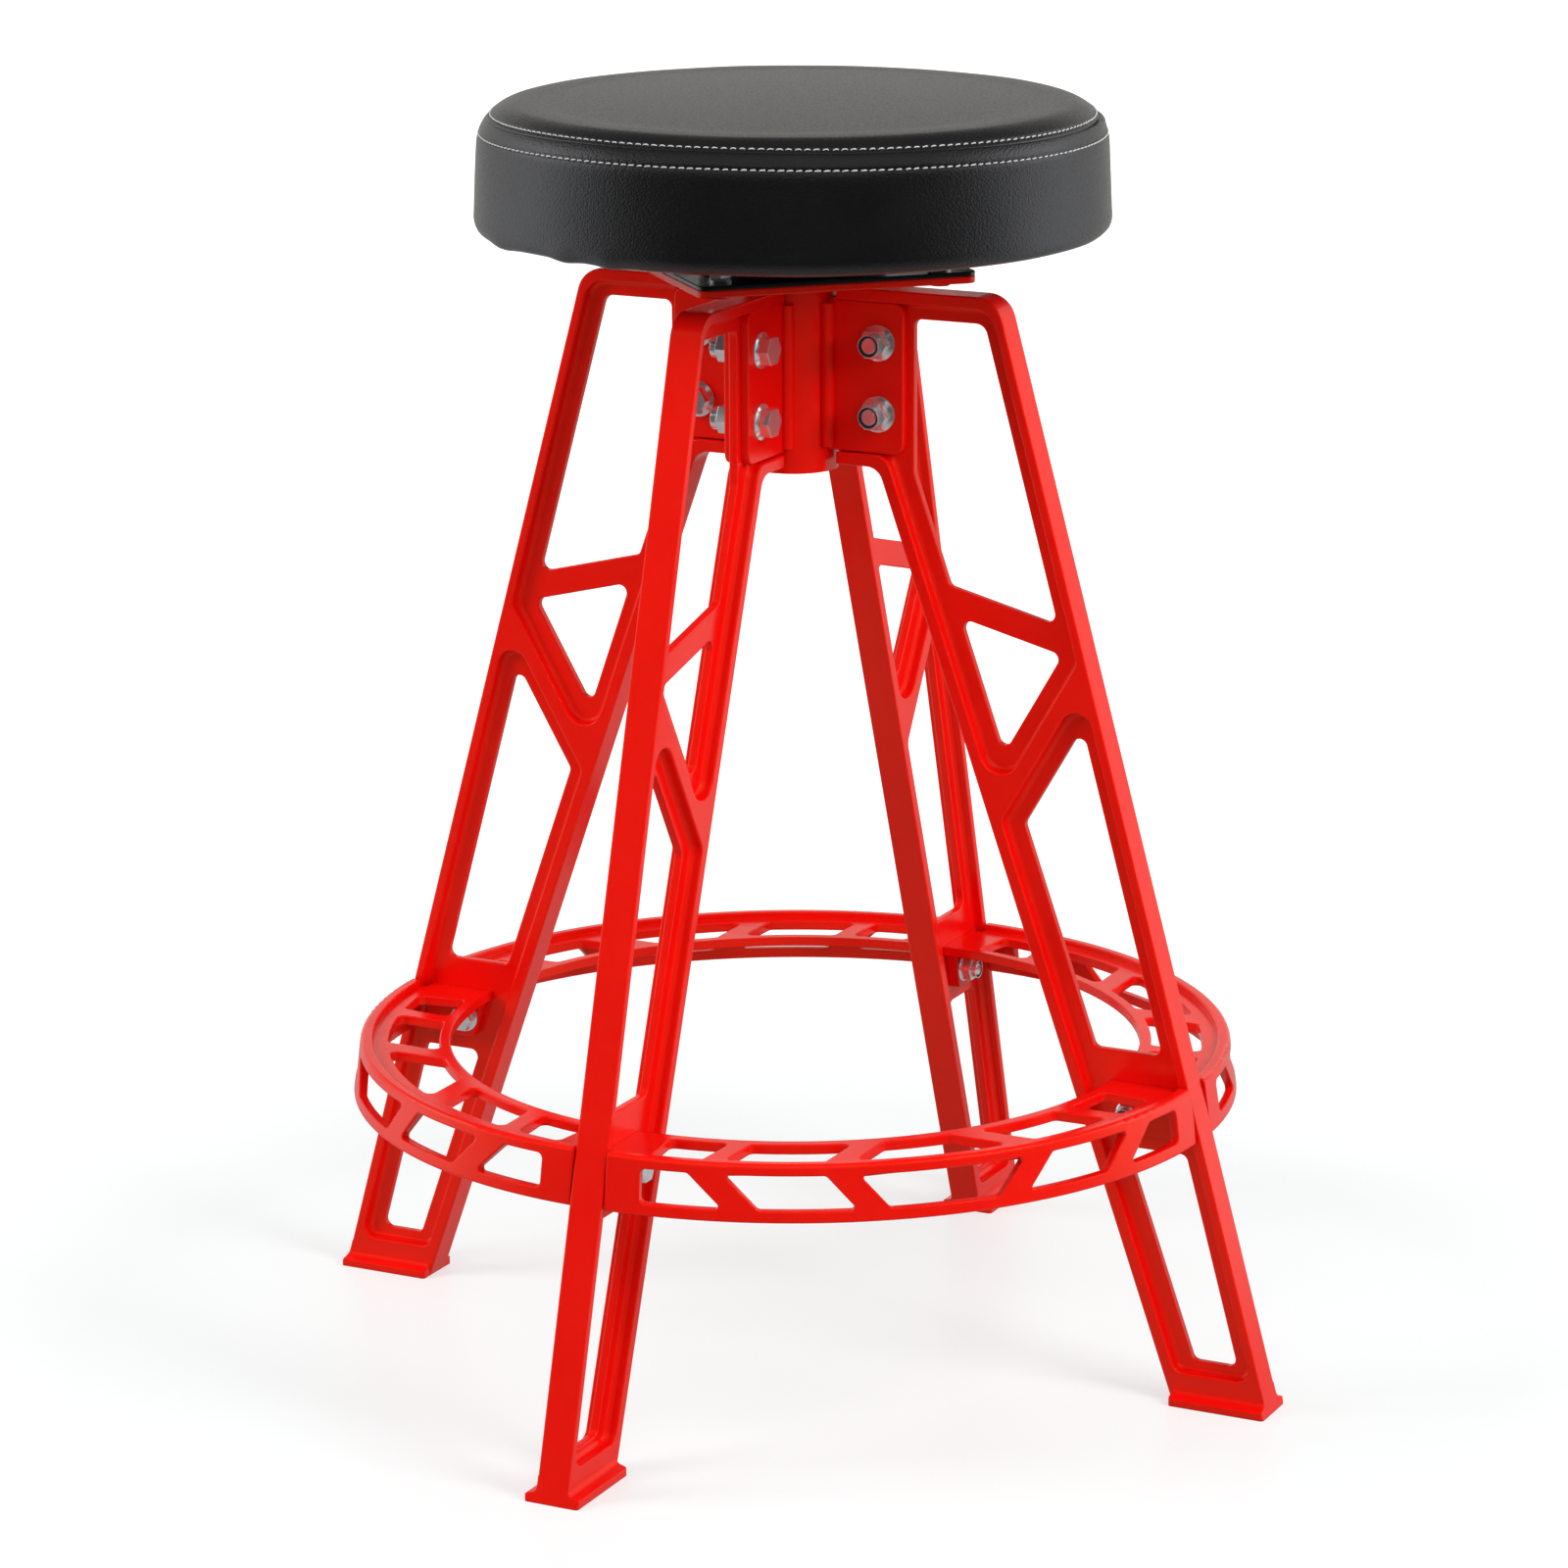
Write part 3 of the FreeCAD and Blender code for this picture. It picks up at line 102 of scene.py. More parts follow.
# Cloth under the seat: radii in metres and how far it drops there over the hem
CLOTH_Z = 0.65356
CLOTH_THICK = 0.00040
CLOTH_TURNS = 240
CLOTH_STEP_R, CLOTH_EDGE = 0.140, 0.013
CLOTH_WAVE = 0.00035
CLOTH_PUCKER = 0.00008
PUCKER_FROM_R, PUCKER_GROWTH, PUCKER_TO_R = 0.100, 0.03, 0.139
CLOTH_PROFILE = (
    (0.004, 0.0), (0.040, 0.0), (0.080, 0.0), (0.110, 0.0), (0.130, 0.00002), (0.1385, 0.00006),
    (0.1392, 0.00036), (0.1399, 0.00086), (0.1405, 0.00116), (0.1450, 0.00120), (0.1500, 0.00120),
    (0.1530, 0.00118))


# Meshes from whole arrays

def turns_round(count):
    """Evenly spaced turns round the axis, in radians."""
    return np.linspace(0, 2 * np.pi, count, endpoint=False)


def carried_round(wide, high, turns):
    """Grid of points from radii and heights, carried round the axis."""
    return np.stack([wide * np.cos(turns), wide * np.sin(turns), high + 0 * turns], axis=-1)


def surface_piece(name, grid, ring=True, loop=False, start_pole=None, end_pole=None):
    """Piece from a grid of points, rows along a profile and columns round it.

    Each cell of the grid is one face. ring joins the last column to the first, loop joins the last row to the
    first, and a pole is one point that closes the first or the last row with a fan.
    """
    rows, columns = grid.shape[:2]
    index = np.arange(rows * columns).reshape(rows, columns)
    right = np.roll(index, -1, axis=1)
    if loop:
        lower, upper = index, np.roll(index, -1, axis=0)
        lower_right, upper_right = right, np.roll(right, -1, axis=0)
    else:
        lower, upper = index[:-1], index[1:]
        lower_right, upper_right = right[:-1], right[1:]
    if not ring:
        lower, upper = lower[:, :-1], upper[:, :-1]
        lower_right, upper_right = lower_right[:, :-1], upper_right[:, :-1]
    quads = np.stack([lower, lower_right, upper_right, upper], axis=-1).reshape(-1, 4)
    points = grid.reshape(-1, 3)
    faces = quads.tolist()
    if start_pole is not None:
        faces += np.stack([np.full(columns, len(points)), right[0], index[0]], axis=-1).tolist()
        points = np.vstack([points, np.asarray(start_pole)[None]])
    if end_pole is not None:
        faces += np.stack([index[-1], right[-1], np.full(columns, len(points))], axis=-1).tolist()
        points = np.vstack([points, np.asarray(end_pole)[None]])
    return mesh_piece(name, points, faces)


def mesh_piece(name, points, faces):
    """Smooth-shaded piece from points and faces, at the origin."""
    mesh = bpy.data.meshes.new(name)
    mesh.from_pydata(points.tolist(), [], faces)
    mesh.polygons.foreach_set("use_smooth", np.ones(len(mesh.polygons), dtype=bool))
    mesh.update()
    piece = bpy.data.objects.new(name, mesh)
    scene.collection.objects.link(piece)
    return piece


# Finishes

def new_material(name):
    """Empty node material with a principled surface."""
    material = bpy.data.materials.new(name)
    material.use_nodes = True
    nodes = material.node_tree.nodes
    nodes.clear()
    output = nodes.new("ShaderNodeOutputMaterial")
    surface = nodes.new("ShaderNodeBsdfPrincipled")
    material.node_tree.links.new(surface.outputs["BSDF"], output.inputs["Surface"])
    return material, surface


def add_node(material, kind, **settings):
    """Node of a kind; settings name its properties or, where there is no such property, its sockets."""
    node = material.node_tree.nodes.new(kind)
    for key, value in settings.items():
        if hasattr(node, key):
            setattr(node, key, value)
        else:
            node.inputs[key.replace("_", " ").title()].default_value = value
    return node


def join(material, source, target):
    """Link from one socket to another."""
    material.node_tree.links.new(source, target)


def object_place(material):
    """Object coordinates of the piece."""
    return add_node(material, "ShaderNodeTexCoord").outputs["Object"]


def noise(material, place, scale, detail):
    """Noise pattern with a number of cells per metre and of octaves."""
    node = add_node(material, "ShaderNodeTexNoise", scale=scale, detail=detail)
    join(material, place, node.inputs["Vector"])
    return node.outputs["Fac"]


def ramp(material, factor, stops):
    """Colour ramp with (position, colour) stops."""
    node = add_node(material, "ShaderNodeValToRGB")
    elements = node.color_ramp.elements
    while len(elements) < len(stops):
        elements.new(0.5)
    for element, (position, colour) in zip(elements, stops):
        element.position = position
        element.color = (*colour, 1.0)
    join(material, factor, node.inputs["Fac"])
    return node.outputs["Color"]


def mixture(material, kind, factor, first, second, blend="MIX"):
    """Mix of two values of a kind by a factor. Each is a socket, or a number or colour set on the mix."""
    node = add_node(material, "ShaderNodeMix", data_type=kind)
    if kind == "RGBA":
        node.blend_type = blend
    open_inputs = [socket for socket in node.inputs if socket.enabled]
    for socket, value in zip(open_inputs, (factor, first, second)):
        if isinstance(value, float):
            socket.default_value = value
        elif isinstance(value, tuple):
            socket.default_value = (*value, 1.0)
        else:
            join(material, value, socket)
    return [socket for socket in node.outputs if socket.enabled][0]


def spread(material, factor, low, high, from_low=0.3, from_high=0.7):
    """Value that follows a pattern between two limits."""
    node = add_node(material, "ShaderNodeMapRange")
    node.inputs["From Min"].default_value = from_low
    node.inputs["From Max"].default_value = from_high
    node.inputs["To Min"].default_value = low
    node.inputs["To Max"].default_value = high
    join(material, factor, node.inputs["Value"])
    return node.outputs["Result"]


def combined(material, operation, first, second):
    """Result of an operation on two values."""
    node = add_node(material, "ShaderNodeMath", operation=operation)
    join(material, first, node.inputs[0])
    join(material, second, node.inputs[1])
    return node.outputs["Value"]


def raised(material, height, strength, distance, below=None, invert=False):
    """Bump from a height pattern, or from its reverse, over another bump if one is given."""
    node = add_node(material, "ShaderNodeBump", invert=invert)
    node.inputs["Strength"].default_value = strength
    node.inputs["Distance"].default_value = distance
    join(material, height, node.inputs["Height"])
    if below is not None:
        join(material, below, node.inputs["Normal"])
    return node.outputs["Normal"]


def softened_edges(material, radius):
    """Normal that turns smoothly over the sharp edges of a piece, as a coat or a plating does."""
    node = add_node(material, "ShaderNodeBevel", samples=6)
    node.inputs["Radius"].default_value = radius
    return node.outputs["Normal"]


def red_powder_coat():
    """Glossy red powder coat: a little cloudy in tone, rounded over the edges, with the fine ripple of cured
    powder."""
    material, surface = new_material("red_powder_coat")
    place = object_place(material)
    clouds = noise(material, place, 18.0, 3.0)
    colour = ramp(material, clouds, [(0.3, (0.82, 0.0030, 0.0018)), (0.7, (0.88, 0.0044, 0.0028))])
    join(material, colour, surface.inputs["Base Color"])
    specks = noise(material, place, 140.0, 3.0)
    join(material, spread(material, specks, 0.19, 0.26), surface.inputs["Roughness"])
    ripple = noise(material, place, 520.0, 1.0)
    fine = noise(material, place, 2600.0, 1.0)
    bump = raised(material, ripple, 0.06, 0.0004, softened_edges(material, 0.0014))
    join(material, raised(material, fine, 0.04, 0.0001, bump), surface.inputs["Normal"])
    surface.inputs["IOR"].default_value = 1.46
    surface.inputs["Specular Tint"].default_value = (1.0, 0.84, 0.38, 1.0)
    return material


def black_leather():
    """Near-black leather: pebbled cells with soft creases between them, duller in the creases."""
    material, surface = new_material("black_leather")
    place = object_place(material)
    warp = noise(material, place, 260.0, 2.0)
    bent = mixture(material, "VECTOR", 0.0016, place, warp)
    cells = add_node(material, "ShaderNodeTexVoronoi", feature="SMOOTH_F1", scale=820.0)
    cells.inputs["Smoothness"].default_value = 0.35
    join(material, bent, cells.inputs["Vector"])
    creases = cells.outputs["Distance"]
    tone = noise(material, place, 30.0, 3.0)
    colour = ramp(material, tone, [(0.3, (0.0032, 0.0032, 0.0037)), (0.7, (0.0052, 0.0052, 0.0057))])
    join(material, colour, surface.inputs["Base Color"])
    join(material, spread(material, creases, 0.30, 0.42, 0.2, 0.8), surface.inputs["Roughness"])
    surface.inputs["IOR"].default_value = 1.6
    pores = noise(material, place, 3200.0, 2.0)
    bump = raised(material, pores, 0.10, 0.0001)
    join(material, raised(material, creases, 0.42, 0.0004, bump, invert=True), surface.inputs["Normal"])
    return material


def pale_thread():
    """Pale polyester thread: slanted plies along the stitch's own length."""
    material, surface = new_material("pale_thread")
    place = add_node(material, "ShaderNodeUVMap", uv_map="stitch").outputs["UV"]
    plies = add_node(material, "ShaderNodeTexWave", bands_direction="DIAGONAL", scale=1.6)
    join(material, place, plies.inputs["Vector"])
    colour = ramp(material, plies.outputs["Fac"], [(0.1, (0.46, 0.46, 0.45)), (0.8, (0.74, 0.74, 0.73))])
    join(material, colour, surface.inputs["Base Color"])
    join(material, raised(material, plies.outputs["Fac"], 0.4, 0.0002), surface.inputs["Normal"])
    surface.inputs["Roughness"].default_value = 0.55
    surface.inputs["Sheen Weight"].default_value = 0.2
    return material


def zinc_plate():
    """Bright zinc plate on bolts and nuts: slightly clouded, with fine turning marks."""
    material, surface = new_material("zinc_plate")
    place = object_place(material)
    clouds = noise(material, place, 160.0, 3.0)
    colour = ramp(material, clouds, [(0.3, (0.80, 0.81, 0.83)), (0.7, (0.93, 0.93, 0.93))])
    join(material, colour, surface.inputs["Base Color"])
    marks = noise(material, place, 1800.0, 2.0)
    join(material, spread(material, marks, 0.10, 0.20), surface.inputs["Roughness"])
    bump = raised(material, marks, 0.05, 0.0001, softened_edges(material, 0.0005))
    join(material, bump, surface.inputs["Normal"])
    surface.inputs["Metallic"].default_value = 0.86
    return material


def polished_steel():
    """Polished steel of the swivel's bolts, washers and nuts, with faint hazing."""
    material, surface = new_material("polished_steel")
    place = object_place(material)
    haze = noise(material, place, 300.0, 3.0)
    colour = ramp(material, haze, [(0.3, (0.70, 0.71, 0.73)), (0.7, (0.86, 0.86, 0.86))])
    join(material, colour, surface.inputs["Base Color"])
    join(material, spread(material, haze, 0.07, 0.15), surface.inputs["Roughness"])
    surface.inputs["Metallic"].default_value = 1.0
    return material


def black_enamel():
    """Glossy black enamel of the swivel's plates, with a slight ripple."""
    material, surface = new_material("black_enamel")
    place = object_place(material)
    clouds = noise(material, place, 60.0, 3.0)
    colour = ramp(material, clouds, [(0.3, (0.006, 0.006, 0.006)), (0.7, (0.012, 0.012, 0.013))])
    join(material, colour, surface.inputs["Base Color"])
    join(material, spread(material, clouds, 0.10, 0.18), surface.inputs["Roughness"])
    ripple = noise(material, place, 400.0, 1.0)
    join(material, raised(material, ripple, 0.05, 0.0003), surface.inputs["Normal"])
    return material


def dark_nylon():
    """Blue-black nylon of the lock nuts' rings and the ball cage, with a moulded grain."""
    material, surface = new_material("dark_nylon")
    place = object_place(material)
    grain = noise(material, place, 900.0, 2.0)
    colour = ramp(material, grain, [(0.3, (0.010, 0.014, 0.030)), (0.7, (0.022, 0.028, 0.050))])
    join(material, colour, surface.inputs["Base Color"])
    join(material, spread(material, grain, 0.38, 0.52), surface.inputs["Roughness"])
    join(material, raised(material, grain, 0.10, 0.0001), surface.inputs["Normal"])
    return material


def birch_plywood():
    """Birch plywood: stretched grain on the faces and level plies at the edge."""
    material, surface = new_material("birch_plywood")
    place = object_place(material)
    stretch = add_node(material, "ShaderNodeMapping")
    stretch.inputs["Scale"].default_value = (8.0, 120.0, 60.0)
    join(material, place, stretch.inputs["Vector"])
    grain = noise(material, stretch.outputs["Vector"], 1.0, 4.0)
    colour = ramp(material, grain, [(0.3, (0.47, 0.33, 0.19)), (0.7, (0.66, 0.50, 0.32))])
    plies = add_node(material, "ShaderNodeTexWave", bands_direction="Z", scale=105.0)
    join(material, place, plies.inputs["Vector"])
    tint = mixture(material, "RGBA", 0.35, colour, plies.outputs["Color"], "MULTIPLY")
    join(material, tint, surface.inputs["Base Color"])
    join(material, spread(material, grain, 0.55, 0.7), surface.inputs["Roughness"])
    join(material, raised(material, grain, 0.12, 0.0002), surface.inputs["Normal"])
    return material


def black_cloth():
    """Thin black cloth under the seat: a plain weave, two crossed sets of threads."""
    material, surface = new_material("black_cloth")
    place = object_place(material)
    warp = add_node(material, "ShaderNodeTexWave", bands_direction="X", scale=420.0)
    weft = add_node(material, "ShaderNodeTexWave", bands_direction="Y", scale=420.0)
    join(material, place, warp.inputs["Vector"])
    join(material, place, weft.inputs["Vector"])
    weave = combined(material, "MAXIMUM", warp.outputs["Fac"], weft.outputs["Fac"])
    fuzz = noise(material, place, 60.0, 3.0)
    colour = ramp(material, fuzz, [(0.3, (0.010, 0.010, 0.010)), (0.7, (0.022, 0.022, 0.022))])
    join(material, colour, surface.inputs["Base Color"])
    join(material, raised(material, weave, 0.35, 0.0003), surface.inputs["Normal"])
    surface.inputs["Roughness"].default_value = 0.9
    surface.inputs["Sheen Weight"].default_value = 0.15
    return material


def polyurethane_foam():
    """Pale foam with open pores."""
    material, surface = new_material("polyurethane_foam")
    place = object_place(material)
    pores = noise(material, place, 900.0, 4.0)
    colour = ramp(material, pores, [(0.3, (0.45, 0.40, 0.26)), (0.7, (0.66, 0.61, 0.45))])
    join(material, colour, surface.inputs["Base Color"])
    join(material, raised(material, pores, 0.5, 0.0006), surface.inputs["Normal"])
    surface.inputs["Roughness"].default_value = 0.95
    return material


finishes = {
    "red_coat": red_powder_coat(),
    "zinc": zinc_plate(),
    "bright_steel": polished_steel(),
    "nylon": dark_nylon(),
    "black_coat": black_enamel(),
    "plywood": birch_plywood(),
    "foam": polyurethane_foam(),
    "black_leather": black_leather(),
    "black_cloth": black_cloth(),
    "white_thread": pale_thread(),
}


def finish_of(name):
    """Slot of a CAD node by what the node is."""
    if name.endswith("inserts") or name == "swivel_ball_cage":
        return "nylon"
    if name in ("swivel_bolts", "swivel_washers", "swivel_nuts"):
        return "bright_steel"
    if name in ("swivel_lower_plate", "swivel_upper_plate"):
        return "black_coat"
    if name in ("leg_bolts", "leg_nuts", "footring_bolts", "footring_nuts", "swivel_balls", "swivel_rivet",
                "seat_screws", "seat_tee_nuts"):
        return "zinc"
    if name == "seat_board":
        return "plywood"
    if name == "seat_foam":
        return "foam"
    if name.startswith("seat_cover"):
        return "black_leather"
    if name == "seat_dust_cover":
        return "black_cloth"
    if name.startswith("seat_stitch"):
        return "white_thread"
    return "red_coat"


for node_name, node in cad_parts.items():
    for coat in node.material_slots:
        coat.material = finishes[finish_of(node_name)]


# Seat

def seat_outline():
    """Seat's profile from the hem to the middle of the crown, as dense (length, r, z, normal r, normal z).

    Straight hem, quarter round of the bottom edge, leaning straight side, quarter round of the top edge,
    and an arc of the crown centred on the axis.
    """
    hem_r = np.linspace(SEAT_SIDE_R - BOTTOM_ROUND - HEM_WIDTH, SEAT_SIDE_R - BOTTOM_ROUND, 60)
    hem_z = np.full_like(hem_r, SEAT_BOTTOM_Z)
    low = np.radians(np.linspace(-90, 0, 60))
    low_r = SEAT_SIDE_R - BOTTOM_ROUND + BOTTOM_ROUND * np.cos(low)
    low_z = SEAT_BOTTOM_Z + BOTTOM_ROUND + BOTTOM_ROUND * np.sin(low)
    side = np.linspace(0, 1, 120)
    side_r = SEAT_SIDE_R + (SEAT_TOP_R - SEAT_SIDE_R) * side
    side_z = SEAT_BOTTOM_Z + BOTTOM_ROUND + (ROUND_Z - SEAT_BOTTOM_Z - BOTTOM_ROUND) * side
    top = np.radians(np.linspace(0, 90, 181))
    top_r = ROUND_R + TOP_ROUND * np.cos(top)
    top_z = ROUND_Z + TOP_ROUND * np.sin(top)
    crown_radius = (ROUND_R ** 2 + SEAT_CROWN ** 2) / (2 * SEAT_CROWN)
    crown_r = np.linspace(ROUND_R, 0, 200)
    crown_z = SEAT_RIM_Z + SEAT_CROWN - crown_radius + np.sqrt(crown_radius ** 2 - crown_r ** 2)
    r = np.concatenate([hem_r, low_r[1:], side_r[1:], top_r[1:], crown_r[1:]])
    z = np.concatenate([hem_z, low_z[1:], side_z[1:], top_z[1:], crown_z[1:]])
    length = np.concatenate([[0], np.cumsum(np.hypot(np.diff(r), np.diff(z)))])
    run_r = np.gradient(r, length)
    run_z = np.gradient(z, length)
    size = np.hypot(run_r, run_z)
    return length, r, z, run_z / size, -run_r / size


outline = seat_outline()
hem_to_side = HEM_WIDTH + BOTTOM_ROUND * math.pi / 2
side_length = math.hypot(SEAT_SIDE_R - SEAT_TOP_R, ROUND_Z - SEAT_BOTTOM_Z - BOTTOM_ROUND)


def length_at(degrees):
    """Length along the outline to an angle of the top round."""
    return hem_to_side + side_length + np.radians(degrees) * TOP_ROUND


# Lengths along the outline
SEAM_AT = length_at(SEAM_DEGREES)
LOWER_ROW_AT = length_at(LOWER_ROW_DEGREES)
UPPER_ROW_AT = length_at(UPPER_ROW_DEGREES)
OUTLINE_END = float(outline[0][-1])

# Turns round the seat in radians: the front, and where the seam gapes and the hem hangs less, with spans
FRONT_TURN = math.radians(-63.8)
SEAM_GAPE_TURN, SEAM_GAPE_SPAN = math.radians(24.0), 0.26
HANG_EASED_TURN, HANG_EASED_SPAN = FRONT_TURN - 0.87, 0.30

# Lumps of the gathered hem: degrees round from the front, width in degrees and height in metres
HEM_LUMPS = (
    (-80, 9.0, 0.0006), (-66.5, 5.0, 0.0016), (-45.5, 3.2, 0.0015), (-34.5, 2.8, 0.0011),
    (-103, 4.0, 0.0012), (-131, 3.4, 0.0014), (-160, 5.0, 0.0008), (121, 3.6, 0.0012),
    (148, 4.4, 0.0010), (172, 3.0, 0.0013), (84, 3.2, 0.0006))


def sewing_wander(turns):
    """How many degrees the seam and its rows rise or fall: two slow waves round the seat, and a quiver."""
    waves = WANDER_WAVE * np.cos(2 * (turns - FRONT_TURN + WANDER_AHEAD))
    return WANDER_MIDDLE + waves + WANDER_QUIVER * np.sin(9 * turns + 0.7)


def turn_apart(turns, middle):
    """Signed angle from a middle turn, between minus and plus half a turn."""
    return (turns - middle + np.pi) % (2 * np.pi) - np.pi


def bell(distance, width):
    """Bell curve of a distance, one at its middle."""
    return np.exp(-(distance / width) ** 2)


def sewing_share(along):
    """Share of the sewing's wander at a length along the outline: all at the seam, less away from it."""
    return bell(along - SEAM_AT, WANDER_REACH)


def stitch_pull(turns, count):
    """How far along a stitch each turn is: one at a stitch's middle, none at its two needle holes."""
    return 0.5 + 0.5 * np.cos(turns * count)


def filled_cover():
    """How far the cover's side and rounded edge swell over the filling, by a cloth simulation: lengths along
    the outline and heights for a number of turns round it.

    The plain outline, from the hem to the start of the flat top, is carried round the axis as a coarse mesh
    and held at both ends, the seam and both stitch rows. Pressure from inside, a little uneven round the seat
    as foam is, swells the rest for twenty frames without gravity. The movement along the outline's normal is
    kept, smoothed over neighbouring rows and columns, with a soft limit.
    """
    length, r, z, normal_r, normal_z = outline
    along = np.concatenate([
        np.linspace(0.0, HEM_WIDTH, 5), np.linspace(HEM_WIDTH, LOWER_ROW_AT, 18)[1:],
        np.linspace(LOWER_ROW_AT, SEAM_AT, 5)[1:], np.linspace(SEAM_AT, UPPER_ROW_AT, 3)[1:],
        np.linspace(UPPER_ROW_AT, UPPER_ROW_AT + EDGE_REACH, 9)[1:]])
    turns = turns_round(SWELL_TURNS)
    grid = carried_round(np.interp(along, length, r)[:, None], np.interp(along, length, z)[:, None], turns)
    piece = surface_piece("cover_to_fill", grid)
    held_lines = np.array([LOWER_ROW_AT, SEAM_AT, UPPER_ROW_AT, along[-1]])
    sewn = np.isclose(along[:, None], held_lines, rtol=0.0, atol=1e-6).any(axis=1)
    held_rows = np.flatnonzero((along <= HEM_WIDTH) | sewn)
    held = piece.vertex_groups.new(name="held")
    index = np.arange(grid.shape[0] * SWELL_TURNS).reshape(-1, SWELL_TURNS)
    held.add(index[held_rows].ravel().tolist(), 1.0, "REPLACE")
    uneven = 0.86 + 0.07 * np.sin(3 * turns + 0.5) + 0.07 * np.sin(7 * turns + 2.0)
    filling = piece.vertex_groups.new(name="filling")
    edge_row = int(np.sum(along < UPPER_ROW_AT))
    for column in range(SWELL_TURNS):
        weight = float(uneven[column])
        filling.add(index[:edge_row, column].tolist(), weight, "REPLACE")
        filling.add(index[edge_row:, column].tolist(), TOP_PRESSURE * weight, "REPLACE")
    cloth = piece.modifiers.new("filling", "CLOTH")
    cloth.settings.quality = 5
    cloth.settings.mass = 0.3
    cloth.settings.tension_stiffness = 2.0
    cloth.settings.compression_stiffness = 2.0
    cloth.settings.shear_stiffness = 0.7
    cloth.settings.bending_stiffness = 10.0
    cloth.settings.use_pressure = True
    cloth.settings.uniform_pressure_force = 20.0
    cloth.settings.vertex_group_pressure = "filling"
    cloth.settings.vertex_group_mass = "held"
    cloth.settings.effector_weights.gravity = 0.0
    cloth.collision_settings.use_collision = False
    cloth.point_cache.frame_start = 1
    cloth.point_cache.frame_end = SWELL_FRAMES
    for step in range(1, SWELL_FRAMES + 1):
        scene.frame_set(step)
    swollen = piece.evaluated_get(bpy.context.evaluated_depsgraph_get()).data
    points = np.zeros(len(swollen.vertices) * 3)
    swollen.vertices.foreach_get("co", points)
    moved = points.reshape(grid.shape) - grid
    outward = moved[..., 0] * np.cos(turns) + moved[..., 1] * np.sin(turns)
    height = (outward * np.interp(along, length, normal_r)[:, None]
              + moved[..., 2] * np.interp(along, length, normal_z)[:, None])
    for pass_number in range(ROUND_PASSES):
        height = 0.5 * height + 0.25 * (np.roll(height, 1, axis=1) + np.roll(height, -1, axis=1))
        if pass_number < ALONG_PASSES:
            height[1:-1] = 0.5 * height[1:-1] + 0.25 * (height[:-2] + height[2:])
    height[held_rows] = 0.0
    scene.frame_set(1)
    mesh = piece.data
    bpy.data.objects.remove(piece)
    bpy.data.meshes.remove(mesh)
    return along, SWELL_LIMIT * np.tanh(height / SWELL_LIMIT)


swell_along, swell_height = filled_cover()


def cover_swell(along, turns):
    """Swelling of the filled cover at lengths along the outline (rows) and turns round it (columns)."""
    rows = np.stack([np.interp(along, swell_along, heights) for heights in swell_height.T], axis=1)
    column = turns % (2 * np.pi) / (2 * np.pi) * SWELL_TURNS
    before = np.floor(column).astype(int) % SWELL_TURNS
    share = column - np.floor(column)
    return rows[:, before] * (1 - share) + rows[:, (before + 1) % SWELL_TURNS] * share


def leather_relief(along, turns):
    """Height of the leather over the plain outline, for lengths along it (rows) and turns round it (columns).

    The seam is a narrow crease, deeper where it gapes, with a lip below it there. Each stitch row is a
    shallow trough that is deepest at the needle holes, with small puckers that fade away from it. Slow waves
    run through the side and fade out on the top, and the filled cover's swelling is added. The bottom edge
    hangs a little below the hem, and the gathered leather makes a few lumps there.
    """
    s = along[:, None]
    t = turns[None, :]
    seam = s - SEAM_AT
    gape = bell(turn_apart(t, SEAM_GAPE_TURN), SEAM_GAPE_SPAN)
    height = -(SEAM_DEPTH + GAPE_DEPTH * gape) * bell(seam, SEAM_WIDTH + GAPE_WIDTH * gape)
    height = height + LIP_HEIGHT * gape * bell(seam + LIP_BELOW, LIP_WIDTH)
    for row_at, count in ((LOWER_ROW_AT, LOWER_STITCHES), (UPPER_ROW_AT, UPPER_STITCHES)):
        away = s - row_at
        pull = stitch_pull(t, count)
        height = height - ROW_DEPTH * bell(away, ROW_WIDTH) * (1.25 - 0.5 * pull)
        pucker = PUCKER_HEIGHT * bell(away, PUCKER_WIDTH)
        height = height + pucker * (pull - 0.5) * (1 + 0.5 * np.sin(7 * t + 1.3))
    waves = (np.sin(5 * t + 0.4 + 30 * s) + 0.7 * np.sin(11 * t + 2.1 - 55 * s)
             + 0.5 * np.sin(17 * t + 4.0 + 90 * s))
    top_share = np.clip((s - UPPER_ROW_AT) / EDGE_REACH, 0, 1)
    height = height + WAVE_HEIGHT * waves * (1 - top_share)
    height = height + cover_swell(along, turns)
    hang = HANG_DEPTH - HANG_EASED * bell(turn_apart(t, HANG_EASED_TURN), HANG_EASED_SPAN)
    for degrees, width, lump in HEM_LUMPS:
        hang = hang + lump * bell(turn_apart(t, FRONT_TURN + math.radians(degrees)), math.radians(width))
    return height + hang * bell(s - HEM_WIDTH - HANG_ABOVE_HEM, HANG_WIDTH)


def leather_points(along, turns, lift=0.0):
    """Points of the leather at lengths along the outline and turns round it, lifted along its normal."""
    length, r, z, normal_r, normal_z = outline
    height = leather_relief(along, turns) + lift
    shift = np.radians(sewing_wander(turns)) * TOP_ROUND
    spot = along[:, None] + shift * sewing_share(along)[:, None]
    wide = np.interp(spot, length, r) + np.interp(spot, length, normal_r) * height
    high = np.interp(spot, length, z) + np.interp(spot, length, normal_z) * height
    return carried_round(wide, high, turns)


def tucked(past_seam, turns):
    """Row of points where a panel's edge turns in just past the seam, under the leather's back."""
    return leather_points(np.array([SEAM_AT + past_seam]), turns, -LEATHER_THICK)


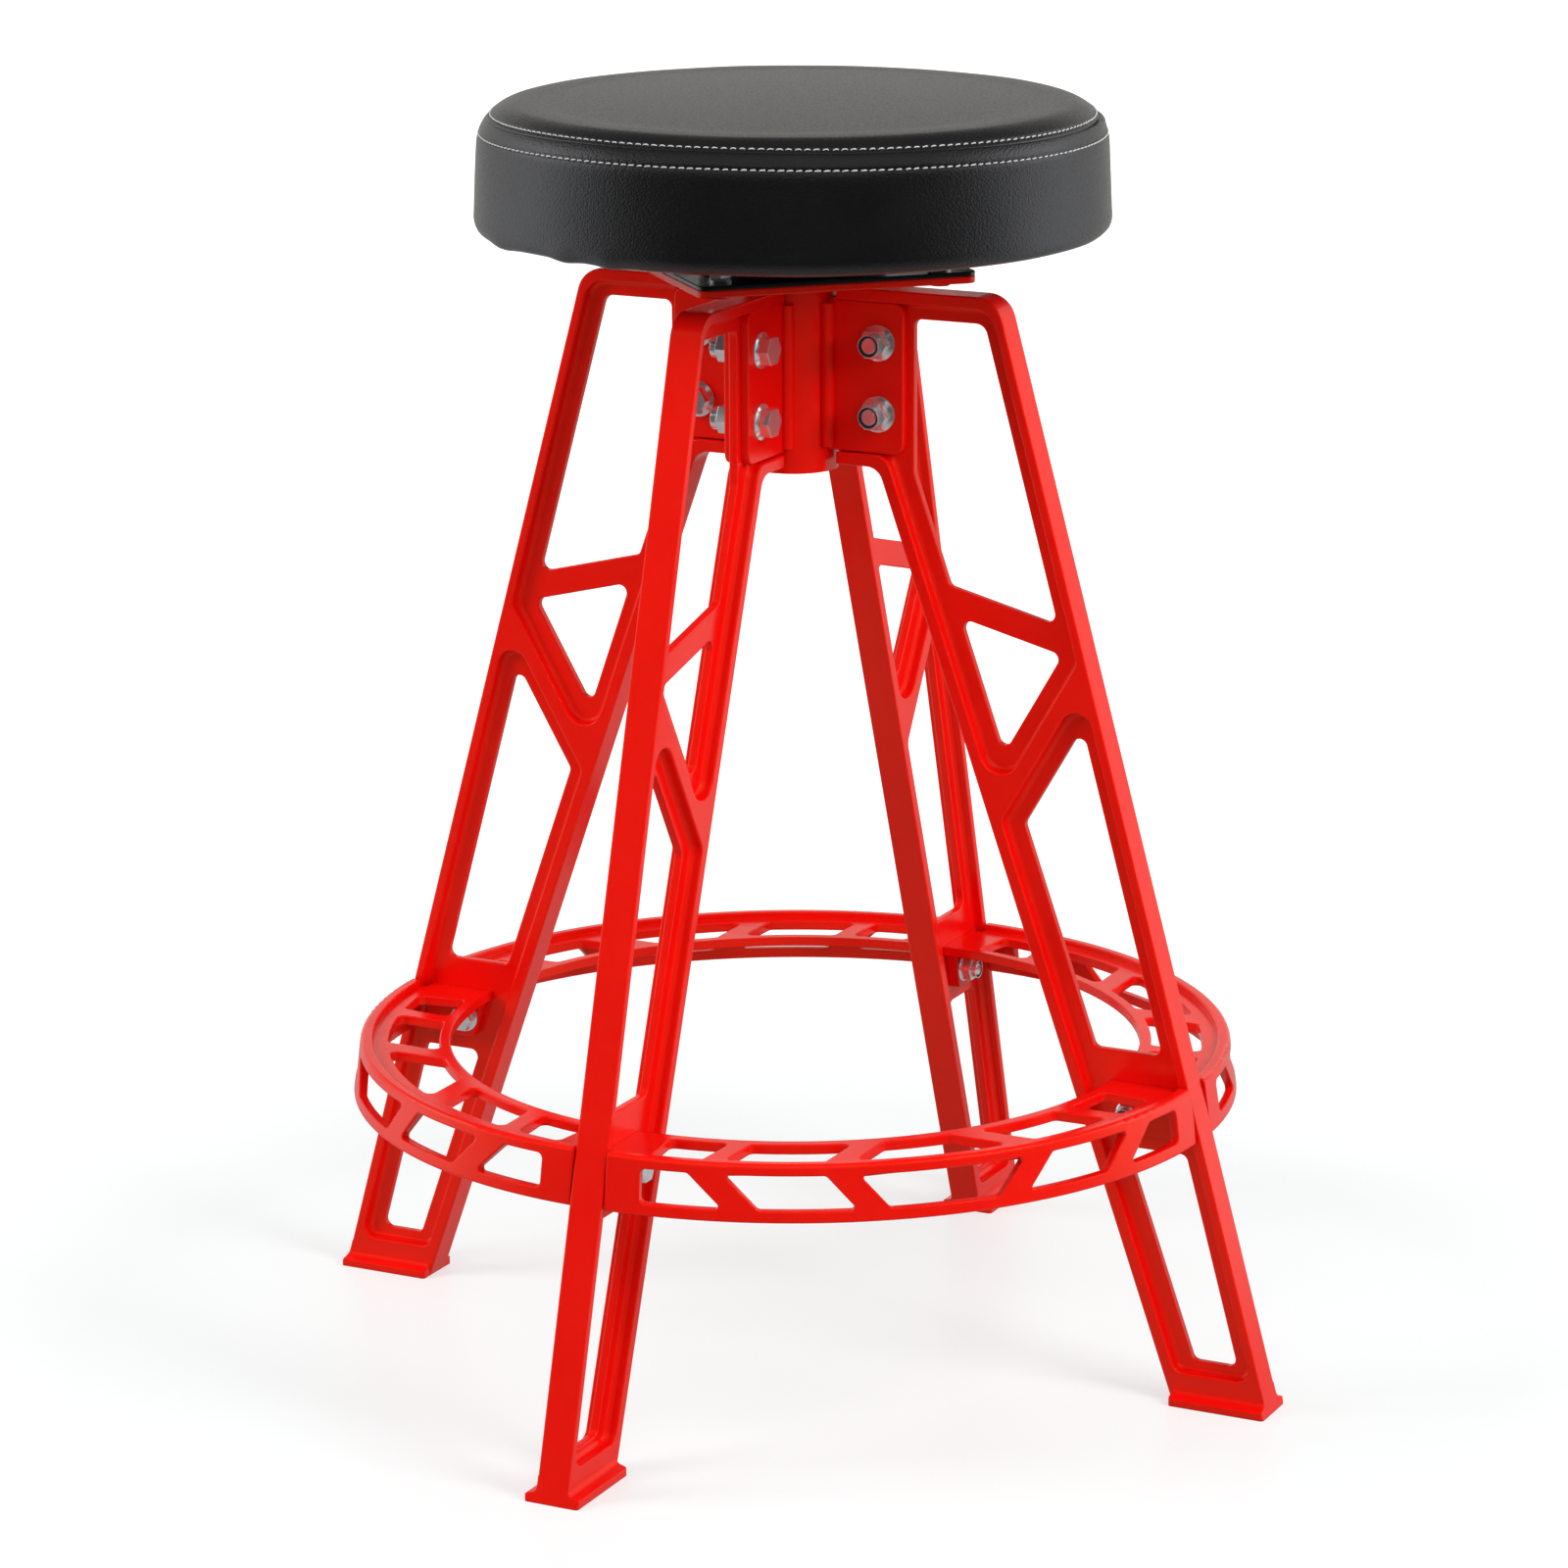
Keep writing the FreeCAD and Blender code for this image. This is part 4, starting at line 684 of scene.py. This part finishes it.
def side_panel():
    """Side of the cover, one closed ring: outer face from the hem to the seam, tucked edge and back face."""
    turns = turns_round(COVER_TURNS)
    along = np.concatenate([
        np.linspace(0.0, HEM_WIDTH - HEM_MARGIN, 6), np.linspace(HEM_WIDTH - DENSE_MARGIN, hem_to_side, 12),
        np.linspace(hem_to_side, LOWER_ROW_AT - DENSE_MARGIN, 22)[1:],
        np.linspace(LOWER_ROW_AT - DENSE_MARGIN, SEAM_AT, 34)[1:]])
    outer = leather_points(along, turns)
    tuck = tucked(SEAM_TUCK, turns)
    back = leather_points(along[::-4], turns, -LEATHER_THICK)
    return surface_piece("seat_side_panel", np.concatenate([outer, tuck, back]), loop=True)


def top_panel():
    """Top of the cover, one closed form: outer face from seam to middle, tucked edge and back face."""
    turns = turns_round(COVER_TURNS)
    along = np.concatenate([
        np.linspace(SEAM_AT, UPPER_ROW_AT + DENSE_MARGIN, 34),
        np.linspace(UPPER_ROW_AT + DENSE_MARGIN, length_at(90), 14)[1:],
        np.linspace(length_at(90), OUTLINE_END - MIDDLE_MARGIN, 30)[1:]])
    outer = leather_points(along, turns)
    tuck = tucked(-SEAM_TUCK, turns)
    back = leather_points(along[::-4], turns, -LEATHER_THICK)
    peak = (0.0, 0.0, SEAT_RIM_Z + SEAT_CROWN)
    inside = (0.0, 0.0, SEAT_RIM_Z + SEAT_CROWN - LEATHER_THICK)
    grid = np.concatenate([outer[::-1], tuck, back[::-1]])
    return surface_piece("seat_top_panel", grid[::-1], start_pole=inside, end_pole=peak)


def stitch_row(name, degrees, count, seed):
    """One row of stitches on the top round.

    Each stitch is a short thread with an oval section: it lies along the row with a slight slant, rises in
    its middle and dips into the leather at its ends. All stitches are worked out in one array of stitch,
    station along the stitch and side of its section.
    """
    chance = np.random.default_rng(seed)
    turn = (2 * np.pi * np.arange(count) / count + chance.normal(0, TURN_STRAY, count))[:, None, None]
    half_length = (STITCH_HALF + chance.normal(0, LENGTH_STRAY, count))[:, None, None]
    slant = np.radians(STITCH_SLANT + chance.normal(0, SLANT_STRAY, count))[:, None, None]
    station = np.linspace(-1, 1, STITCH_STATIONS)[None, :, None]
    side = (2 * np.pi * np.arange(STITCH_SIDES) / STITCH_SIDES)[None, None, :]
    lean = np.radians(degrees + sewing_wander(turn) * sewing_share(length_at(degrees)))
    thick = THREAD_RADIUS * np.sqrt(1 - THREAD_TAPER * station ** 4)
    lift = STITCH_RISE - STITCH_DIP * np.abs(station) ** 3.5
    run = half_length * station
    across = run * np.sin(slant) + THREAD_WIDE * thick * np.cos(side)
    up = lift + THREAD_FLAT * thick * np.sin(side)
    forward = run * np.cos(slant) + 0 * side
    centre_r = ROUND_R + (TOP_ROUND - STITCH_BED) * np.cos(lean)
    centre_z = ROUND_Z + (TOP_ROUND - STITCH_BED) * np.sin(lean)
    wide = centre_r + up * np.cos(lean) - across * np.sin(lean)
    high = centre_z + up * np.sin(lean) + across * np.cos(lean)
    x = wide * np.cos(turn) - forward * np.sin(turn)
    y = wide * np.sin(turn) + forward * np.cos(turn)
    points = np.stack([x, y, high + 0 * x], axis=-1)
    shape = (count, STITCH_STATIONS, STITCH_SIDES)
    index = np.arange(math.prod(shape)).reshape(shape)
    following = np.roll(index, -1, axis=2)
    cells = [index[:, :-1], index[:, 1:], following[:, 1:], following[:, :-1]]
    quads = np.stack(cells, axis=-1).reshape(-1, 4)
    faces = quads.tolist() + index[:, 0].tolist() + index[:, -1, ::-1].tolist()
    row = mesh_piece(name, points.reshape(-1, 3), faces)
    along = np.broadcast_to(station * 2.0, shape).reshape(-1)
    around = np.broadcast_to(side / np.pi, shape).reshape(-1)
    corners = np.zeros(len(row.data.loops), dtype=np.int32)
    row.data.loops.foreach_get("vertex_index", corners)
    layer = row.data.uv_layers.new(name="stitch")
    layer.data.foreach_set("uv", np.stack([along[corners], around[corners]], axis=-1).reshape(-1))
    return row


def underside_cloth():
    """Thin cloth under the board: flat in the middle, stepping down over the cover's hem, with a wavy edge
    and shallow puckers where it is held. Lower face and upper face, closed at the edge."""
    turns = turns_round(CLOTH_TURNS)
    r, drop = np.array(CLOTH_PROFILE).T
    wave = np.sin(23 * turns + 1.1 * np.sin(4 * turns)) + 0.6 * np.sin(41 * turns + 0.8)
    edge = np.clip((r - CLOTH_STEP_R) / CLOTH_EDGE, 0, 1)
    wide = r[:, None] + CLOTH_WAVE * edge[:, None] * wave
    puckered = np.clip((r - PUCKER_FROM_R) / PUCKER_GROWTH, 0, 1) * (r < PUCKER_TO_R)
    low = (CLOTH_Z - drop)[:, None] - CLOTH_PUCKER * puckered[:, None] * (1 + wave)
    lower = carried_round(wide, low, turns)
    upper = lower + np.array([0.0, 0.0, CLOTH_THICK])
    grid = np.concatenate([upper, lower[::-1]])
    return surface_piece("underside_cloth", grid[::-1], start_pole=(0, 0, CLOTH_Z),
                         end_pole=(0, 0, CLOTH_Z + CLOTH_THICK))


side = side_panel()
top = top_panel()
lower_stitches = stitch_row("lower_stitches", LOWER_ROW_DEGREES, LOWER_STITCHES, 11)
upper_stitches = stitch_row("upper_stitches", UPPER_ROW_DEGREES, UPPER_STITCHES, 12)
cloth = underside_cloth()
for piece, slot in ((side, "black_leather"), (top, "black_leather"), (lower_stitches, "white_thread"),
                    (upper_stitches, "white_thread"), (cloth, "black_cloth")):
    piece.data.materials.append(finishes[slot])
    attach(piece, "seat")
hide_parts("seat_cover_band")
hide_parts("seat_cover_top", "seat_foam")
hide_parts("seat_stitch_lower")
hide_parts("seat_stitch_upper")
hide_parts("seat_dust_cover")


# Studio

# Level direction from the stool to the camera, and the point the lamps are turned to
FRONT = (0.4419, -0.8971, 0.0)
LAMP_AIM = (0.0, 0.0, 0.4)


def band(material, value, low, high, soft):
    """One between two limits of a value and none outside them, with soft edges."""
    rise = spread(material, value, 0.0, 1.0, low - soft, low + soft)
    fall = spread(material, value, 1.0, 0.0, high - soft, high + soft)
    return combined(material, "MULTIPLY", rise, fall)


def towards_front(material, direction):
    """How far a direction points to the front: one on the camera's side, minus one behind."""
    node = add_node(material, "ShaderNodeVectorMath", operation="DOT_PRODUCT")
    node.inputs[1].default_value = FRONT
    join(material, direction, node.inputs[0])
    return node.outputs["Value"]


def round_the_room(material, facing):
    """Brightness round the stool at eye level: dark in front, where the camera stands, white at the two sides
    and grey behind."""
    tones = [
        (0.0, (0.72, 0.71, 0.67)), (0.05, (0.58, 0.575, 0.55)), (0.13, (0.47, 0.47, 0.47)),
        (0.24, (0.66, 0.67, 0.69)), (0.345, (1.0, 1.01, 1.04)), (0.48, (1.0, 1.01, 1.05)),
        (0.60, (0.46, 0.47, 0.49)), (0.74, (0.08, 0.08, 0.08)), (0.82, (0.02, 0.02, 0.02))]
    return ramp(material, spread(material, facing, 0.0, 1.0, -1.0, 1.0), tones)


def room_by_direction(material, facing, level):
    """Brightness of the room by its direction from the stool.

    Low down it is that round the room. High up it is dark, with a faint light above the front, and the white
    reaches higher at the sides than behind, with a bright soft box on each side.
    """
    overhead = spread(material, facing, 0.10, 0.34, 0.05, 0.30)
    along_view = combined(material, "MULTIPLY", facing, facing)
    lowered = add_node(material, "ShaderNodeMath", operation="MULTIPLY_ADD")
    join(material, along_view, lowered.inputs[0])
    lowered.inputs[1].default_value = 0.30
    join(material, level, lowered.inputs[2])
    low_down = spread(material, lowered.outputs["Value"], 1.0, 0.0, 0.55, 0.68)
    shell = mixture(material, "RGBA", low_down, overhead, round_the_room(material, facing))
    beside = band(material, facing, -0.50, 0.10, 0.12)
    at_height = band(material, level, 0.22, 0.54, 0.06)
    boxes = combined(material, "MULTIPLY", beside, at_height)
    return mixture(material, "RGBA", boxes, shell, (1.8, 1.8, 1.85))


def studio_floor():
    """Wide flat floor, one large square just under the soles: nearly white to the camera, with the shadow
    kept, and showing the room in gloss."""
    reach, level = 40.0, -0.0002
    corners = np.array([[[-reach, -reach, level], [reach, -reach, level]],
                        [[-reach, reach, level], [reach, reach, level]]])
    floor = surface_piece("studio_floor", corners, ring=False)
    material, surface = new_material("white_floor")
    place = object_place(material)
    clouds = noise(material, place, 3.0, 2.0)
    colour = ramp(material, clouds, [(0.3, (0.37, 0.40, 0.40)), (0.7, (0.39, 0.42, 0.42))])
    path = add_node(material, "ShaderNodeLightPath")
    direction = add_node(material, "ShaderNodeVectorMath", operation="NORMALIZE")
    join(material, place, direction.inputs[0])
    facing = towards_front(material, direction.outputs["Vector"])
    reach_out = add_node(material, "ShaderNodeVectorMath", operation="LENGTH")
    join(material, place, reach_out.inputs[0])
    far_off = spread(material, reach_out.outputs["Value"], 0.0, 1.0, 0.5, 1.3)
    mirrored = mixture(material, "RGBA", far_off, (0.38, 0.38, 0.38), round_the_room(material, facing))
    lit = spread(material, reach_out.outputs["Value"], 0.56, 1.0, 0.42, 1.3)
    glow = mixture(material, "RGBA", path.outputs["Is Glossy Ray"], lit, mirrored)
    matt = spread(material, path.outputs["Is Glossy Ray"], 0.42, 0.0, 0.0, 1.0)
    shown = mixture(material, "RGBA", path.outputs["Is Camera Ray"], matt, colour)
    join(material, shown, surface.inputs["Base Color"])
    surface.inputs["Roughness"].default_value = 0.40
    surface.inputs["Specular IOR Level"].default_value = 0.25
    join(material, glow, surface.inputs["Emission Color"])
    seen = combined(material, "MAXIMUM", path.outputs["Is Camera Ray"], path.outputs["Is Glossy Ray"])
    join(material, seen, surface.inputs["Emission Strength"])
    floor.data.materials.append(material)


def studio_world():
    """White room: soft light for matt surfaces, a little stronger from behind, white for the camera, and its
    brightness by direction in gloss."""
    world = bpy.data.worlds.new("studio_room")
    scene.world = world
    world.use_nodes = True
    world.node_tree.nodes.clear()
    output = add_node(world, "ShaderNodeOutputWorld")
    room = add_node(world, "ShaderNodeBackground")
    join(world, room.outputs["Background"], output.inputs["Surface"])
    place = add_node(world, "ShaderNodeTexCoord").outputs["Generated"]
    facing = towards_front(world, place)
    height = add_node(world, "ShaderNodeSeparateXYZ")
    join(world, place, height.inputs["Vector"])
    mirrored = room_by_direction(world, facing, height.outputs["Z"])
    path = add_node(world, "ShaderNodeLightPath")
    fill = spread(world, facing, 0.62, 0.50, -0.60, -0.10)
    lit = mixture(world, "RGBA", path.outputs["Is Glossy Ray"], fill, mirrored)
    seen = combined(world, "MAXIMUM", path.outputs["Is Camera Ray"], path.outputs["Is Transmission Ray"])
    join(world, mixture(world, "RGBA", seen, lit, (1.0, 1.0, 1.0)), room.inputs["Color"])
    join(world, spread(world, path.outputs["Is Glossy Ray"], 1.0, 1.2, 0.0, 1.0), room.inputs["Strength"])


def placement(right, up, back, spot):
    """Matrix that places a lamp or the camera by its own axes, the last one behind it, and its spot."""
    matrix = np.eye(4)
    matrix[:3] = np.stack([right, up, back, spot], axis=1)
    return Matrix(matrix.tolist())


def soft_box(name, spot, width, height, power):
    """Rectangular soft lamp at a spot, turned to the stool. Gloss shows the room instead of the lamp."""
    lamp = bpy.data.lights.new(name, "AREA")
    lamp.shape = "RECTANGLE"
    lamp.size = width
    lamp.size_y = height
    lamp.energy = power
    holder = bpy.data.objects.new(name, lamp)
    scene.collection.objects.link(holder)
    back = np.array(spot) - np.array(LAMP_AIM)
    back = back / np.linalg.norm(back)
    right = np.cross((0.0, 0.0, 1.0), back)
    right = right / np.linalg.norm(right)
    holder.matrix_world = placement(right, np.cross(back, right), back, spot)
    holder.visible_glossy = False


def photo_camera():
    """Camera at the photograph's place: 3 m away, 1.11 m high, looking down by 14.5 degrees."""
    turn = 0.4580
    distance, height = 3.0, 1.1093
    pitch, yaw, roll = 0.2536, -0.0020, -0.0030
    ahead = np.array([math.sin(yaw) * math.cos(pitch), math.cos(yaw) * math.cos(pitch), -math.sin(pitch)])
    level = np.array([math.cos(yaw), -math.sin(yaw), 0.0])
    upright = np.cross(level, ahead)
    right = level * math.cos(roll) + upright * math.sin(roll)
    up = -level * math.sin(roll) + upright * math.cos(roll)
    about = np.array([[math.cos(turn), -math.sin(turn), 0], [math.sin(turn), math.cos(turn), 0], [0, 0, 1]])
    stand = np.array([0.0, -distance, height])
    lens = bpy.data.cameras.new("photo_camera")
    lens.sensor_width = 36.0
    lens.lens = 124.555
    lens.clip_end = 200.0
    camera = bpy.data.objects.new("photo_camera", lens)
    scene.collection.objects.link(camera)
    camera.matrix_world = placement(about @ right, about @ up, about @ -ahead, about @ stand)
    scene.camera = camera


scene.view_settings.view_transform = "Standard"
studio_floor()
studio_world()
soft_box("front_box", (0.95, -1.95, 2.5), 1.8, 1.4, 6.0)
soft_box("left_box", (-2.15, -1.55, 1.8), 1.2, 1.6, 47.0)
soft_box("right_box", (2.45, -0.45, 1.9), 1.2, 1.6, 60.0)
photo_camera()

bpy.context.view_layer.update()
